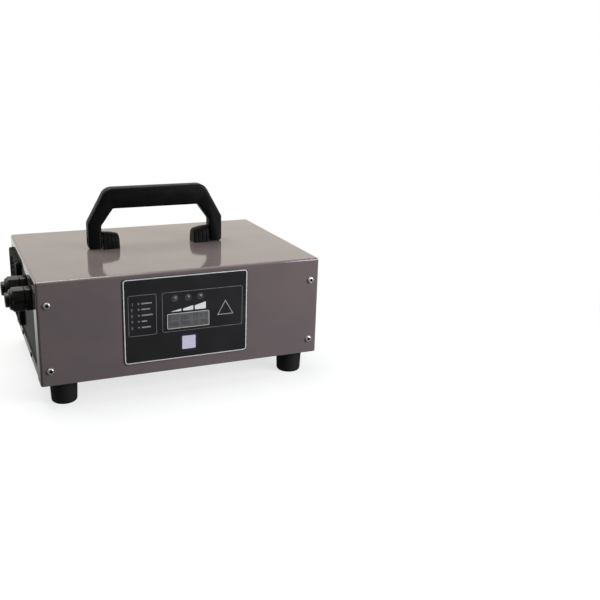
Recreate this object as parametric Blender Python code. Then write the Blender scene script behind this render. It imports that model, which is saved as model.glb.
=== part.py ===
# Bench-top charger for golf carts, in metres, +Z up.
# A folded steel case on four rubber feet, with a carrying handle that folds back onto the lid,
# a control panel on the front, two cable glands and a fan on the left end, and vents on the right.
# x runs along the case, y from the front to the back. The origin is on the floor, in the middle
# of everything the charger covers, glands and screw heads included.
import math

import bmesh
import bpy
from mathutils import Matrix, Vector

mm = 0.001

# clearances
seat_gap = 0.3 * mm          # between two pieces that touch
slip_gap = 0.35 * mm         # round the handle's pins and the fan's shaft, which turn
hole_gap = 0.4 * mm          # round a screw's shank

# case
case_length = 320 * mm
case_depth = 228 * mm
case_height = 114.5 * mm
sheet = 1.5 * mm
bend = 3 * mm                # outer radius of every fold
front_return = 24 * mm       # cover strip turned round the front corner onto each end
rear_return = 10 * mm
lid_return = 12 * mm         # strip turned down from the lid onto each end
base_flange = 12 * mm        # strip turned up from the base onto each end
relief = 1.2 * mm            # slit where two folds of the cover meet
inner_flange = 16 * mm       # strip of an end plate behind the front and back
tray_lip = 9 * mm            # strip of the base behind the front and back
tray_lip_inset = 22 * mm     # how far that strip stops short of the case's ends

# feet
foot_height = 26.5 * mm
foot_top_radius = 13.8 * mm
foot_bottom_radius = 12.8 * mm
foot_edge = 3 * mm
foot_inset_x = 26 * mm
foot_inset_y = 20 * mm
foot_pocket_depth = 14 * mm
foot_pocket_gap = 1.5 * mm   # round the screw's head
foot_screw_radius = 2.5 * mm
foot_screw_head = 4.6 * mm
foot_screw_head_height = 2.8 * mm
foot_screw_reach = 4 * mm    # past the base

# handle
handle_span = 165 * mm       # over the outside of its legs
handle_y = 10 * mm
handle_depth = 16 * mm
handle_rise = 71.5 * mm      # grip's top above the lid
grip_height = 23.5 * mm
leg_width = 14.5 * mm
leg_outer_knee = 31 * mm     # where the leg starts to lean in, above the lid
leg_inner_knee = 27.5 * mm
lean_run = 22.5 * mm         # how far the leaning stretch comes in
grip_corner = 14 * mm
handle_edge = 3 * mm
pivot_height = 10 * mm       # above the lid
leg_clearance = 1 * mm       # between the leg's end and the lid
pivot_gap = 2.5 * mm         # between a leg and its block
block_length = 19.5 * mm
block_depth = 22 * mm
block_top_radius = 9.7 * mm
block_groove = 0.8 * mm      # depth of the grooves across a block
block_groove_width = 1.2 * mm
block_groove_slope = 0.1 * mm
block_groove_first = 3.9 * mm
block_groove_pitch = 4.8 * mm
block_grooves = 3
block_edge = 0.8 * mm        # chamfer beside the leg
block_end_edge = 1.2 * mm    # chamfer at the other end
block_taper = 3.2 * mm       # how much lower that end is
block_screw_radius = 2.5 * mm
block_screw_head = 4.5 * mm
block_screw_head_height = 2.6 * mm
block_screw_length = 7 * mm
block_screw_bore = 6 * mm    # into the block
pin_radius = 3 * mm
pin_edge = 0.5 * mm
pin_recess = 1 * mm
pin_in_block = 11 * mm

# control panel on the front
panel_width = 142 * mm
panel_below_lid = 4.95 * mm
panel_above_underside = 13.05 * mm
panel_thickness = 0.8 * mm
panel_corner = 4 * mm
display_width = 47 * mm
display_height = 16.2 * mm
display_x = 1.5 * mm
display_below_lid = 56.9 * mm    # from the lid to its middle, as the next two
display_rim = 3 * mm
display_depth = 7 * mm
lamp_xs = (-13.5 * mm, 1.5 * mm, 15.5 * mm)
lamp_below_lid = 30.9 * mm
lamp_radius = 2.5 * mm
lamp_proud = 0.5 * mm
lamp_dome = 1.2 * mm
lamp_collar = 0.4 * mm       # wider ring against its board
lamp_collar_height = 1 * mm
display_face_inset = 0.2 * mm
display_board_width = 84 * mm
display_board_height = 60 * mm
display_board_below_lid = 48.5 * mm
board_thickness = 1.6 * mm
stud_radius = 2.6 * mm
stud_inset = 5 * mm

# cover screws, on the front and the back
cover_screw_inset = 10.5 * mm
cover_screw_above_underside = 16.8 * mm
cover_screw_below_lid = 25.5 * mm
cover_screw_radius = 2 * mm
cover_screw_head = 3.7 * mm
cover_screw_head_height = 2.2 * mm
cover_screw_length = 8 * mm

# base flange screws, on the ends
flange_screw_ys = (-36 * mm, 42 * mm)
flange_screw_z = 8 * mm
flange_screw_radius = 1.5 * mm
flange_screw_head = 2.8 * mm
flange_screw_head_height = 1 * mm
flange_screw_length = 7 * mm

# cable glands, on the left end
gland_below_lid = 29.5 * mm  # from the lid to a gland's axis
gland_spread = (0.145, 0.292)    # free room in front of the front gland, and between the two
gland_flats = 24 * mm
gland_corners = 27.2 * mm    # across the rounded corners
gland_edge = 0.6 * mm
gland_turn = 20              # degrees, from a corner at the top towards the rear
gland_thread_radius = 10 * mm
gland_base = 5 * mm
gland_neck = 6 * mm          # the body's collar, under the nut
gland_neck_radius = 8.6 * mm
gland_nut_length = 17 * mm
gland_nut_flats_length = 11.5 * mm
gland_dome_start = 1.4 * mm  # height of the dome's first facet
gland_dome_inset = 2.2 * mm  # how far the dome comes in
gland_dome_end = 1.2 * mm    # its last facet, below the nose
gland_nose_foot = 1.5 * mm
gland_nose_length = 6 * mm
gland_nose_radius = 7.6 * mm
gland_bore = 6.3 * mm
gland_mouth_radius = 5.9 * mm
seal_bore = 4.6 * mm
seal_radius = 8.2 * mm
seal_rim = 0.4 * mm
locknut_flats = 26 * mm
locknut_corners = 29.2 * mm
locknut_thickness = 5 * mm
gland_tail = 8 * mm          # thread inside the end plate

# fan, on the left end, as large as the end's window leaves room for
fan_room_above = 0.5 * mm    # between the guard and the lid's strip
fan_room_below = 10 * mm     # between the guard and the base's strip
fan_room_behind = 2 * mm     # between the guard and the cover's rear strip
fan_depth = 25 * mm
fan_flange = 4 * mm
fan_corner = 4 * mm
fan_wall = 1.7 * mm          # least wall round the bore
fan_waist = 0.4 * mm         # how far the barrel between the flanges is set in
fan_hole_inset = 4.25 * mm   # from the fan's sides to its screw holes
fan_tip_gap = 1 * mm
fan_hub_front = 2.5 * mm     # from the frame's face back to the hub
fan_hub_edge = 1.5 * mm
fan_hub_wall = 1.6 * mm
fan_hub_face = 3 * mm
fan_hub_radius = 17 * mm
fan_hub_depth = 17 * mm
fan_blades = 7
blade_chord = 15 * mm
blade_thickness = 1.4 * mm
blade_root_pitch = 52
blade_tip_pitch = 30
blade_sweep = 0.25           # radians from root to tip
fan_shaft_radius = 1.5 * mm
bearing_radius = 4 * mm
bearing_length = 8 * mm
bearing_floor = 1.5 * mm     # behind the shaft's end
strut_width = 5 * mm
strut_depth = 3 * mm
strut_rise = 0.5 * mm        # between the struts and the rear of the frame
hub_plate = 2.5 * mm
guard_thickness = 4 * mm
guard_corner = 5 * mm
guard_ring = 2.2 * mm
guard_ring_inset = 0.4 * mm  # of the rings, in from both faces
guard_bar_inset = 0.8 * mm
guard_hub_inset = 0.2 * mm
guard_rise = 3 * mm          # of the middle, ahead of the frame
guard_rings = 4
guard_bar_steps = 9          # straight runs in a bar's curve
guard_hub = 9 * mm
guard_frame = 3.5 * mm
fan_screw_radius = 2 * mm
fan_screw_head = 3.5 * mm
fan_screw_head_height = 2 * mm
fan_screw_reach = 4 * mm     # past the fan

# vents, on the right end
vent_columns = 11
vent_rows = 2
vent_pitch = 12 * mm
vent_width = 4 * mm
vent_height = 30 * mm
vent_row_pitch = 38 * mm

# electronics on the base
standoff_height = 8 * mm
standoff_radius = 4 * mm
main_board_size = (236 * mm, 150 * mm)
main_board_middle = (16 * mm, 2 * mm)
standoff_inset = 8 * mm
heatsink_size = (150 * mm, 34 * mm, 56 * mm)
heatsink_y = 48 * mm
heatsink_fins = 6
heatsink_web = 5 * mm
heatsink_fin = 2 * mm
core_size = (52 * mm, 46 * mm, 46 * mm)
core_middle = (40 * mm, -20 * mm)
core_limb = 13 * mm
winding_overhang = 9 * mm
winding_gap = 1 * mm
winding_corner = 2 * mm
capacitor_radius = 15 * mm
capacitor_height = 46 * mm
capacitor_edge = 1 * mm
capacitor_inset = 36 * mm    # from the board's left end to the first can's middle
capacitor_pitch = 36 * mm
capacitor_y = -30 * mm
choke_radius = 20 * mm
choke_thickness = 8 * mm
choke_inset = 30 * mm        # from the board's right end to the choke's middle
choke_y = -22 * mm
terminal_size = (50 * mm, 14 * mm, 16 * mm)
terminal_middle = (-20 * mm, 8 * mm)
terminal_ways = 5
terminal_mouth = 6 * mm
terminal_mouth_depth = 5 * mm
terminal_mouth_rise = 3 * mm

# places worked out from the sizes above
half_length = case_length / 2
half_depth = case_depth / 2
underside = foot_height
lid_z = underside + case_height
inside_x = half_length - sheet - seat_gap      # outer face of an end plate
inside_y = half_depth - sheet - seat_gap       # outer face of what lies behind the front or back
floor_z = underside + sheet                    # top of the base
gland_length = gland_base + gland_nut_length + gland_nose_length
left_reach = inside_x + seat_gap + gland_length
right_reach = half_length + flange_screw_head_height
case_middle_x = (left_reach - right_reach) / 2

# heights above the underside, on the front
panel_height = case_height - panel_below_lid - panel_above_underside
panel_middle_z = panel_above_underside + panel_height / 2
display_z = case_height - display_below_lid
lamp_z = case_height - lamp_below_lid
display_board_middle_z = case_height - display_board_below_lid
cover_screw_zs = (cover_screw_above_underside, case_height - cover_screw_below_lid)

# places on the ends and inside
window_front = -half_depth + front_return      # the end's opening between the cover's strips
window_rear = half_depth - rear_return
fan_size = case_height - lid_return - base_flange - fan_room_above - fan_room_below
fan_y = window_rear - fan_room_behind - fan_size / 2
fan_z = base_flange + fan_room_below + fan_size / 2      # above the underside
fan_bore = fan_size / 2 - fan_wall
fan_hole_pitch = fan_size - 2 * fan_hole_inset
fan_inside_x = -inside_x + sheet + seat_gap    # outer face of the fan's frame
gland_z = case_height - gland_below_lid
gland_room = fan_y - fan_size / 2 - window_front - 2 * gland_corners
gland_front_y = window_front + gland_spread[0] * gland_room + gland_corners / 2
gland_rear_y = gland_front_y + gland_spread[1] * gland_room + gland_corners
display_board_face = -half_depth + sheet + display_depth   # front face of the display's board
main_board_top = floor_z + standoff_height + seat_gap + board_thickness
part_seat = main_board_top + seat_gap
handle_sides = (-1, 1)


def material(name, colour, roughness, metallic=0.0):
    made = bpy.data.materials.new(name)
    made.use_nodes = True
    shader = made.node_tree.nodes["Principled BSDF"]
    shader.inputs["Base Color"].default_value = (*colour, 1)
    shader.inputs["Roughness"].default_value = roughness
    shader.inputs["Metallic"].default_value = metallic
    return made


# A ring is a list of points. Neighbouring rings are joined by quads, and the two end rings are
# filled, or joined to each other when the shape is a closed tube.
def loft(rings, closed=False):
    bm = bmesh.new()
    rows = [[bm.verts.new(p) for p in ring] for ring in rings]
    count = len(rows[0])
    pairs = list(zip(rows, rows[1:]))
    if closed:
        pairs.append((rows[-1], rows[0]))
    else:
        bm.faces.new(rows[0])
        bm.faces.new(rows[-1])
    for a, b in pairs:
        for i in range(count):
            j = (i + 1) % count
            bm.faces.new((a[i], a[j], b[j], b[i]))
    bmesh.ops.recalc_face_normals(bm, faces=bm.faces)
    return bm


def circle(radius, height, count):
    turns = [2 * math.pi * i / count for i in range(count)]
    return [(radius * math.cos(t), radius * math.sin(t), height) for t in turns]


# A hexagon across its flats, with its corners cut off by a circle. The count is a multiple of 6.
def hexagon(flats, height, count, corner_radius=None):
    points = []
    for i in range(count):
        turn = 2 * math.pi * i / count
        off_middle = (turn + math.pi / 6) % (math.pi / 3) - math.pi / 6
        radius = flats / 2 / math.cos(math.pi / 6 - abs(off_middle))
        if corner_radius:
            radius = min(radius, corner_radius)
        points.append((radius * math.cos(turn), radius * math.sin(turn), height))
    return points


# A solid of revolution round z, from (radius, height) pairs.
def turned(profile, count, closed=False):
    return loft([circle(r, z, count) for r, z in profile], closed)


def block(x0, x1, y0, y1, z0, z1):
    low = [(x0, y0, z0), (x1, y0, z0), (x1, y1, z0), (x0, y1, z0)]
    high = [(x, y, z1) for x, y, z in low]
    return loft([low, high])


# An outline in the plane across the axis, drawn out along it.
def extruded(outline, axis, low, high):
    def at(u, v, w):
        return {"x": (w, u, v), "y": (u, w, v), "z": (u, v, w)}[axis]

    return loft([[at(u, v, low) for u, v in outline], [at(u, v, high) for u, v in outline]])


def arc(centre, radius, start, end, steps):
    turns = [math.radians(start + (end - start) * i / steps) for i in range(steps + 1)]
    return [(centre[0] + radius * math.cos(t), centre[1] + radius * math.sin(t)) for t in turns]


def rounded_rectangle(u0, u1, v0, v1, radius, steps=4):
    return (
        arc((u1 - radius, v0 + radius), radius, -90, 0, steps)
        + arc((u1 - radius, v1 - radius), radius, 0, 90, steps)
        + arc((u0 + radius, v1 - radius), radius, 90, 180, steps)
        + arc((u0 + radius, v0 + radius), radius, 180, 270, steps)
    )


# A slot with round ends, upright in its plane.
def slot_outline(u, v, width, height, steps=4):
    radius = width / 2
    reach = height / 2 - radius
    return arc((u, v + reach), radius, 0, 180, steps) + arc((u, v - reach), radius, 180, 360, steps)


# The section of a folded sheet: the line of its outer face, turning left at each fold, and the
# same line one sheet further in.
def folded_section(corners, steps=3):
    outer, inner = [Vector(corners[0])], []
    first = (Vector(corners[1]) - Vector(corners[0])).normalized()
    inner.append(Vector(corners[0]) + Vector((-first.y, first.x)) * sheet)
    for before, corner, after in zip(corners, corners[1:], corners[2:]):
        before, corner, after = Vector(before), Vector(corner), Vector(after)
        arriving = (corner - before).normalized()
        leaving = (after - corner).normalized()
        centre = corner + (leaving - arriving) * bend
        for i in range(steps + 1):
            turn = math.pi / 2 * i / steps
            out = arriving * math.sin(turn) - leaving * math.cos(turn)
            outer.append(centre + out * bend)
            inner.append(centre + out * (bend - sheet))
    last = (Vector(corners[-1]) - Vector(corners[-2])).normalized()
    outer.append(Vector(corners[-1]))
    inner.append(Vector(corners[-1]) + Vector((-last.y, last.x)) * sheet)
    return [tuple(p) for p in outer + inner[::-1]]


# A box with its upright and upper edges rounded, as a folded lid has them.
def lid_form(half_x, half_y, low, high, radius):
    bm = block(-half_x, half_x, -half_y, half_y, low, high)
    edges = [e for e in bm.edges if max(v.co.z for v in e.verts) > high - radius / 2]
    bmesh.ops.bevel(bm, geom=edges, offset=radius, segments=3, profile=0.5, affect="EDGES")
    return bm


def add(name, bm, finish, smooth=30):
    mesh = bpy.data.meshes.new(name)
    bm.to_mesh(mesh)
    bm.free()
    made = bpy.data.objects.new(name, mesh)
    bpy.context.scene.collection.objects.link(made)
    made.parent = case_middle
    if finish:
        mesh.materials.append(finish)
        mesh.shade_smooth()
        mesh.set_sharp_from_angle(angle=math.radians(smooth))
    return made


# Solids that are joined to a piece or cut out of it. They stay in the file as wire guides.
def guide(name, bm):
    made = add(name, bm, None)
    made.hide_render = True
    made.display_type = "WIRE"
    return made


def combine(target, operation, solids):
    for bm in solids:
        made = guide(f"{target.name}_{operation.lower()}_{len(target.modifiers)}", bm)
        made.matrix_basis = target.matrix_basis
        step = target.modifiers.new(made.name, "BOOLEAN")
        step.operation = operation
        step.object = made


def join(target, *solids):
    combine(target, "UNION", solids)


def cut(target, *solids):
    combine(target, "DIFFERENCE", solids)


def merged(solids):
    whole = bmesh.new()
    for bm in solids:
        mesh = bpy.data.meshes.new("part_of_a_guide")
        bm.to_mesh(mesh)
        whole.from_mesh(mesh)
        bpy.data.meshes.remove(mesh)
        bm.free()
    return whole


def moved(bm, place, turn=None):
    bm.transform(Matrix.Translation(place) @ (turn or Matrix()))
    return bm


# Turns that take the z axis of a turned piece to another direction.
to_left = Matrix.Rotation(math.radians(-90), 4, "Y")
to_right = Matrix.Rotation(math.radians(90), 4, "Y")
to_front = Matrix.Rotation(math.radians(90), 4, "X")
to_back = Matrix.Rotation(math.radians(-90), 4, "X")
downward = Matrix.Rotation(math.radians(180), 4, "X")


def hole(radius, length, place, turn, count=12):
    return moved(turned([(radius, -length), (radius, length)], count), place, turn)


# A screw along z, its button head on z = 0 with a hexagon socket in it.
def screw_form(radius, head_radius, head_height, length):
    count = 12
    flats = head_radius              # across the socket
    socket_floor = head_height * 0.4
    return loft([
        hexagon(flats, socket_floor, count),
        hexagon(flats, head_height, count),
        circle(head_radius * 0.86, head_height * 0.8, count),
        circle(head_radius, head_height * 0.35, count),
        circle(head_radius, seat_gap, count),
        circle(radius, seat_gap, count),
        circle(radius, -length, count),
    ])


# A screw with a plain pan head, for where only its head's outline matters.
def pan_screw_form(radius, head_radius, head_height, length):
    return turned([
        (head_radius * 0.8, head_height), (head_radius, head_height * 0.6),
        (head_radius, seat_gap), (radius, seat_gap), (radius, -length),
    ], 10)


def add_screw(name, form, place, turn, finish):
    made = add(name, form, finish)
    made.location = place
    made.rotation_euler = turn.to_euler()


for old in list(bpy.data.objects):
    bpy.data.objects.remove(old, do_unlink=True)

case_middle = bpy.data.objects.new("case_middle", None)
bpy.context.scene.collection.objects.link(case_middle)
case_middle.location.x = case_middle_x

taupe_paint = material("taupe_paint", (0.205, 0.175, 0.165), 0.38)
dark_paint = material("dark_paint", (0.075, 0.075, 0.074), 0.45)
black_rubber = material("black_rubber", (0.012, 0.012, 0.012), 0.75)
black_nylon = material("black_nylon", (0.014, 0.014, 0.015), 0.48)
zinc_steel = material("zinc_steel", (0.62, 0.62, 0.60), 0.28, 1.0)
black_steel = material("black_steel", (0.02, 0.02, 0.02), 0.4, 1.0)
panel_film = material("panel_film", (0.018, 0.018, 0.02), 0.3)
display_glass = material("display_glass", (0.28, 0.30, 0.29), 0.15)
lamp_plastic = material("lamp_plastic", (0.35, 0.35, 0.34), 0.25)
circuit_board = material("circuit_board", (0.02, 0.12, 0.05), 0.5)
bare_aluminium = material("bare_aluminium", (0.75, 0.75, 0.76), 0.35, 1.0)
ferrite = material("ferrite", (0.04, 0.04, 0.045), 0.6)
copper_winding = material("copper_winding", (0.55, 0.24, 0.09), 0.35, 1.0)
sleeve_blue = material("sleeve_blue", (0.02, 0.04, 0.16), 0.35)
terminal_green = material("terminal_green", (0.03, 0.22, 0.06), 0.45)


def cover_screw_places():
    for side, turn in ((-1, to_front), (1, to_back)):
        for end in (-1, 1):
            for z in cover_screw_zs:
                x = end * (half_length - cover_screw_inset)
                yield Vector((x, side * half_depth, underside + z)), turn


def foot_places():
    for x in (-half_length + foot_inset_x, half_length - foot_inset_x):
        for y in (-half_depth + foot_inset_y, half_depth - foot_inset_y):
            yield Vector((x, y, underside))


def fan_corners():
    for y in (-1, 1):
        for z in (-1, 1):
            yield fan_y + y * fan_hole_pitch / 2, underside + fan_z + z * fan_hole_pitch / 2


def display_studs():
    for x in (-1, 1):
        for z in (-1, 1):
            yield (
                display_x + x * (display_board_width / 2 - stud_inset),
                underside + display_board_middle_z + z * (display_board_height / 2 - stud_inset),
            )


def make_cover():
    cover = add("cover", lid_form(half_length, half_depth, underside, lid_z, bend), taupe_paint)
    hollow = lid_form(
        half_length - sheet, half_depth - sheet, underside - bend, lid_z - sheet, bend - sheet
    )
    cut(cover, hollow)
    windows = block(
        -half_length - bend, half_length + bend, window_front, window_rear,
        underside - bend, lid_z - lid_return,
    )
    cut(cover, windows)
    slits = [
        block(
            end * half_length - bend, end * half_length + bend, y0, y1,
            lid_z - lid_return, lid_z - lid_return + relief,
        )
        for end in (-1, 1)
        for y0, y1 in (
            (-half_depth + bend, window_front + bend),
            (window_rear - bend, half_depth - bend),
        )
    ]
    cut(cover, merged(slits))
    holes = [
        hole(cover_screw_radius + hole_gap, 2 * sheet, place, turn)
        for place, turn in cover_screw_places()
    ]
    for side in handle_sides:
        place = Vector((block_middle(side), handle_y, lid_z))
        holes.append(hole(block_screw_radius + hole_gap, 2 * sheet, place, Matrix()))
    for x in lamp_xs:
        place = Vector((x, -half_depth, underside + lamp_z))
        holes.append(hole(lamp_radius + hole_gap, 2 * sheet, place, to_front))
    cut(cover, merged(holes))
    cut(cover, block(
        display_x - display_width / 2 - hole_gap, display_x + display_width / 2 + hole_gap,
        -half_depth - bend, -half_depth + 2 * sheet,
        underside + display_z - display_height / 2 - hole_gap,
        underside + display_z + display_height / 2 + hole_gap,
    ))
    studs = [
        block(
            x - stud_radius, x + stud_radius, -half_depth + sheet / 2,
            display_board_face - seat_gap, z - stud_radius, z + stud_radius,
        )
        for x, z in display_studs()
    ]
    join(cover, *studs)


def block_outer(side):
    return side * (handle_span / 2 - leg_width - pivot_gap)


def block_middle(side):
    return block_outer(side) - side * block_length / 2


def make_base():
    y0 = window_front + seat_gap
    y1 = window_rear - seat_gap
    section = folded_section([
        (-half_length, underside + base_flange), (-half_length, underside),
        (half_length, underside), (half_length, underside + base_flange),
    ])
    base = add("base", extruded(section, "y", y0, y1), taupe_paint)
    lips = folded_section([
        (-inside_y, underside + tray_lip), (-inside_y, underside),
        (inside_y, underside), (inside_y, underside + tray_lip),
    ])
    lip_end = half_length - tray_lip_inset
    join(base, extruded(lips, "x", -lip_end, lip_end))
    corners = block(-inside_x, inside_x, -inside_y + bend, inside_y - bend, underside, floor_z)
    join(base, corners)
    bosses = [
        moved(turned([(standoff_radius, -sheet / 2), (standoff_radius, standoff_height)], 12),
              Vector((x, y, floor_z)))
        for x, y in board_corners()
    ]
    join(base, *bosses)
    holes = [
        hole(foot_screw_radius + hole_gap, 2 * sheet, place, Matrix()) for place in foot_places()
    ]
    for end, turn in ((-1, to_left), (1, to_right)):
        for y in flange_screw_ys:
            place = Vector((end * half_length, y, underside + flange_screw_z))
            holes.append(hole(flange_screw_radius + hole_gap, sheet + seat_gap / 2, place, turn))
    cut(base, merged(holes))


def board_corners():
    for x in (-1, 1):
        for y in (-1, 1):
            yield (
                main_board_middle[0] + x * (main_board_size[0] / 2 - standoff_inset),
                main_board_middle[1] + y * (main_board_size[1] / 2 - standoff_inset),
            )


def make_end_plate(name, end, openings):
    section = folded_section([
        (inside_x - inner_flange, -inside_y), (inside_x, -inside_y),
        (inside_x, inside_y), (inside_x - inner_flange, inside_y),
    ])
    section = [(end * x, y) for x, y in section]
    low = floor_z + bend - sheet + seat_gap
    high = lid_z - bend - seat_gap
    plate = add(name, extruded(section, "z", low, high), dark_paint)
    holes = [
        hole(cover_screw_radius + hole_gap, 4 * sheet, place, turn)
        for place, turn in cover_screw_places() if place.x * end > 0
    ]
    for y in flange_screw_ys:
        place = Vector((end * inside_x, y, underside + flange_screw_z))
        holes.append(hole(flange_screw_radius + hole_gap, 2 * sheet, place, to_left))
    cut(plate, merged(holes + openings))


def make_left_end():
    openings = [
        hole(gland_thread_radius + hole_gap, 2 * sheet,
             Vector((-inside_x, y, underside + gland_z)), to_left, 20)
        for y in (gland_front_y, gland_rear_y)
    ]
    middle = Vector((-inside_x, fan_y, underside + fan_z))
    openings.append(hole(fan_bore, 2 * sheet, middle, to_left, 36))
    for y, z in fan_corners():
        openings.append(hole(fan_screw_radius + hole_gap, 2 * sheet,
                             Vector((-inside_x, y, z)), to_left))
    make_end_plate("left_end_plate", -1, openings)


def make_right_end():
    openings = []
    middle_y = (window_front + window_rear) / 2
    middle_z = underside + (case_height - lid_return + base_flange) / 2
    for row in range(vent_rows):
        z = middle_z + (row - (vent_rows - 1) / 2) * vent_row_pitch
        for column in range(vent_columns):
            y = middle_y + (column - (vent_columns - 1) / 2) * vent_pitch
            outline = slot_outline(y, z, vent_width, vent_height)
            openings.append(extruded(outline, "x", inside_x - 2 * sheet, inside_x + sheet))
    make_end_plate("right_end_plate", 1, openings)


def make_cover_screws():
    for number, (place, turn) in enumerate(cover_screw_places(), 1):
        form = screw_form(
            cover_screw_radius, cover_screw_head, cover_screw_head_height, cover_screw_length
        )
        add_screw(f"cover_screw_{number}", form, place, turn, zinc_steel)


def make_flange_screws():
    number = 0
    for end, turn in ((-1, to_left), (1, to_right)):
        for y in flange_screw_ys:
            number += 1
            form = screw_form(
                flange_screw_radius, flange_screw_head, flange_screw_head_height,
                flange_screw_length,
            )
            place = Vector((end * half_length, y, underside + flange_screw_z))
            add_screw(f"flange_screw_{number}", form, place, turn, black_steel)


def make_feet():
    top = foot_height - seat_gap
    pocket = foot_screw_head + foot_pocket_gap
    shank = foot_screw_radius + hole_gap
    edge = arc((foot_bottom_radius - foot_edge, foot_edge), foot_edge, 0, -90, 2)
    profile = [(shank, top), (foot_top_radius, top)] + edge
    profile += [(pocket, 0), (pocket, foot_pocket_depth), (shank, foot_pocket_depth)]
    length = foot_height - foot_pocket_depth + sheet + foot_screw_reach
    for number, place in enumerate(foot_places(), 1):
        foot = add(f"foot_{number}", turned(profile, 18, closed=True), black_rubber)
        foot.location = (place.x, place.y, 0)
        form = pan_screw_form(foot_screw_radius, foot_screw_head, foot_screw_head_height, length)
        head = Vector((place.x, place.y, foot_pocket_depth))
        add_screw(f"foot_screw_{number}", form, head, downward, zinc_steel)


# The handle's outline from the front, as (x, height above the lid).
def handle_outline():
    half = handle_span / 2
    foot = leg_clearance
    top = handle_rise
    under = handle_rise - grip_height
    slope = Vector((lean_run, top - leg_outer_knee)).normalized()
    trim = grip_corner * math.tan(math.acos(slope.x) / 2)
    turn = math.degrees(math.acos(slope.x))
    corner_x = half - lean_run
    inner = half - leg_width
    inner_run = (under - leg_inner_knee) * lean_run / (top - leg_outer_knee)
    right = [(inner, foot), (half, foot), (half, leg_outer_knee)]
    centre = (corner_x - trim, top - grip_corner)
    right += arc(centre, grip_corner, 90 - turn, 90, 5)
    left = [(-x, z) for x, z in right[::-1]]
    inside = [
        (-inner, leg_inner_knee), (-inner + inner_run, under),
        (inner - inner_run, under), (inner, leg_inner_knee),
    ]
    return right + left + inside


# The handle's outline from the side: square at the front, where it stands against the lid when
# it is up, and rounded about the pin at the back, where it swings past the lid.
def handle_side():
    half = handle_depth / 2
    drop = pivot_height - leg_clearance
    points = [(-half, -drop)]
    steps = 6
    for i in range(steps + 1):
        turn = math.pi / 2 * (i / steps - 1)
        points.append((half * math.cos(turn), drop * math.sin(turn)))
    top = handle_rise - pivot_height
    return points + [(half, top + handle_edge), (-half, top + handle_edge)]


def make_handle():
    pivot = Vector((0, handle_y, lid_z + pivot_height))
    outline = [(x, z - pivot_height) for x, z in handle_outline()]
    half = handle_depth / 2
    form = extruded(outline, "y", -half - handle_edge, half + handle_edge)
    handle = add("handle", form, black_nylon, 40)
    handle.location = pivot
    side = extruded(handle_side(), "x", -handle_span, handle_span)
    combine(handle, "INTERSECT", [side])
    edge = handle.modifiers.new("edge", "BEVEL")
    edge.width = handle_edge
    edge.segments = 2
    edge.limit_method = "ANGLE"
    edge.angle_limit = math.radians(50)
    bores = [
        hole(pin_radius + slip_gap, leg_width, Vector((side * (handle_span - leg_width) / 2, 0, 0)),
             to_right, 18)
        for side in handle_sides
    ]
    cut(handle, merged(bores))


# One pivot block: an arch over the pin, grooved across, lower towards the middle of the lid.
def make_blocks():
    steps = 6
    stations = [(0, -block_edge), (block_edge, 0)]
    for number in range(block_grooves):
        a = block_groove_first + number * block_groove_pitch
        b = a + block_groove_width
        stations += [(a, 0), (a + block_groove_slope, -block_groove),
                     (b - block_groove_slope, -block_groove), (b, 0)]
    stations += [(block_length - block_end_edge, 0), (block_length, -block_end_edge)]
    for side, label in zip(handle_sides, ("left", "right")):
        rings = []
        for along, growth in stations:
            lower = block_taper * (along / block_length) ** 2
            radius = block_top_radius + growth
            half = block_depth / 2 + growth
            x = block_outer(side) - side * along
            arch = [
                (handle_y + radius * math.cos(math.pi * i / steps),
                 lid_z + (pivot_height + radius * math.sin(math.pi * i / steps)) - lower)
                for i in range(steps + 1)
            ]
            foot = lid_z + seat_gap
            outline = [(handle_y - half, foot), (handle_y + half, foot)] + arch
            rings.append([(x, y, z) for y, z in outline])
        pivot = add(f"handle_block_{label}", loft(rings), black_nylon)
        pin_hole = moved(
            turned([(pin_radius + seat_gap, -pin_in_block - seat_gap),
                    (pin_radius + seat_gap, block_edge)], 16),
            Vector((block_outer(side), handle_y, lid_z + pivot_height)),
            to_right if side > 0 else to_left,
        )
        screw_hole = hole(block_screw_radius + hole_gap, block_screw_bore,
                          Vector((block_middle(side), handle_y, lid_z)), Matrix())
        cut(pivot, pin_hole, screw_hole)
        length = handle_span / 2 - pin_recess - (abs(block_outer(side)) - pin_in_block)
        pin = add(f"handle_pin_{label}", turned([
            (pin_radius - pin_edge, 0), (pin_radius, pin_edge),
            (pin_radius, length - pin_edge), (pin_radius - pin_edge, length),
        ], 16), zinc_steel)
        pin.location = (block_outer(side) - side * pin_in_block, handle_y, lid_z + pivot_height)
        pin.rotation_euler = (to_right if side > 0 else to_left).to_euler()
        form = pan_screw_form(block_screw_radius, block_screw_head, block_screw_head_height,
                              block_screw_length)
        place = Vector((block_middle(side), handle_y, lid_z - sheet))
        add_screw(f"handle_block_screw_{label}", form, place, downward, zinc_steel)


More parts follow.
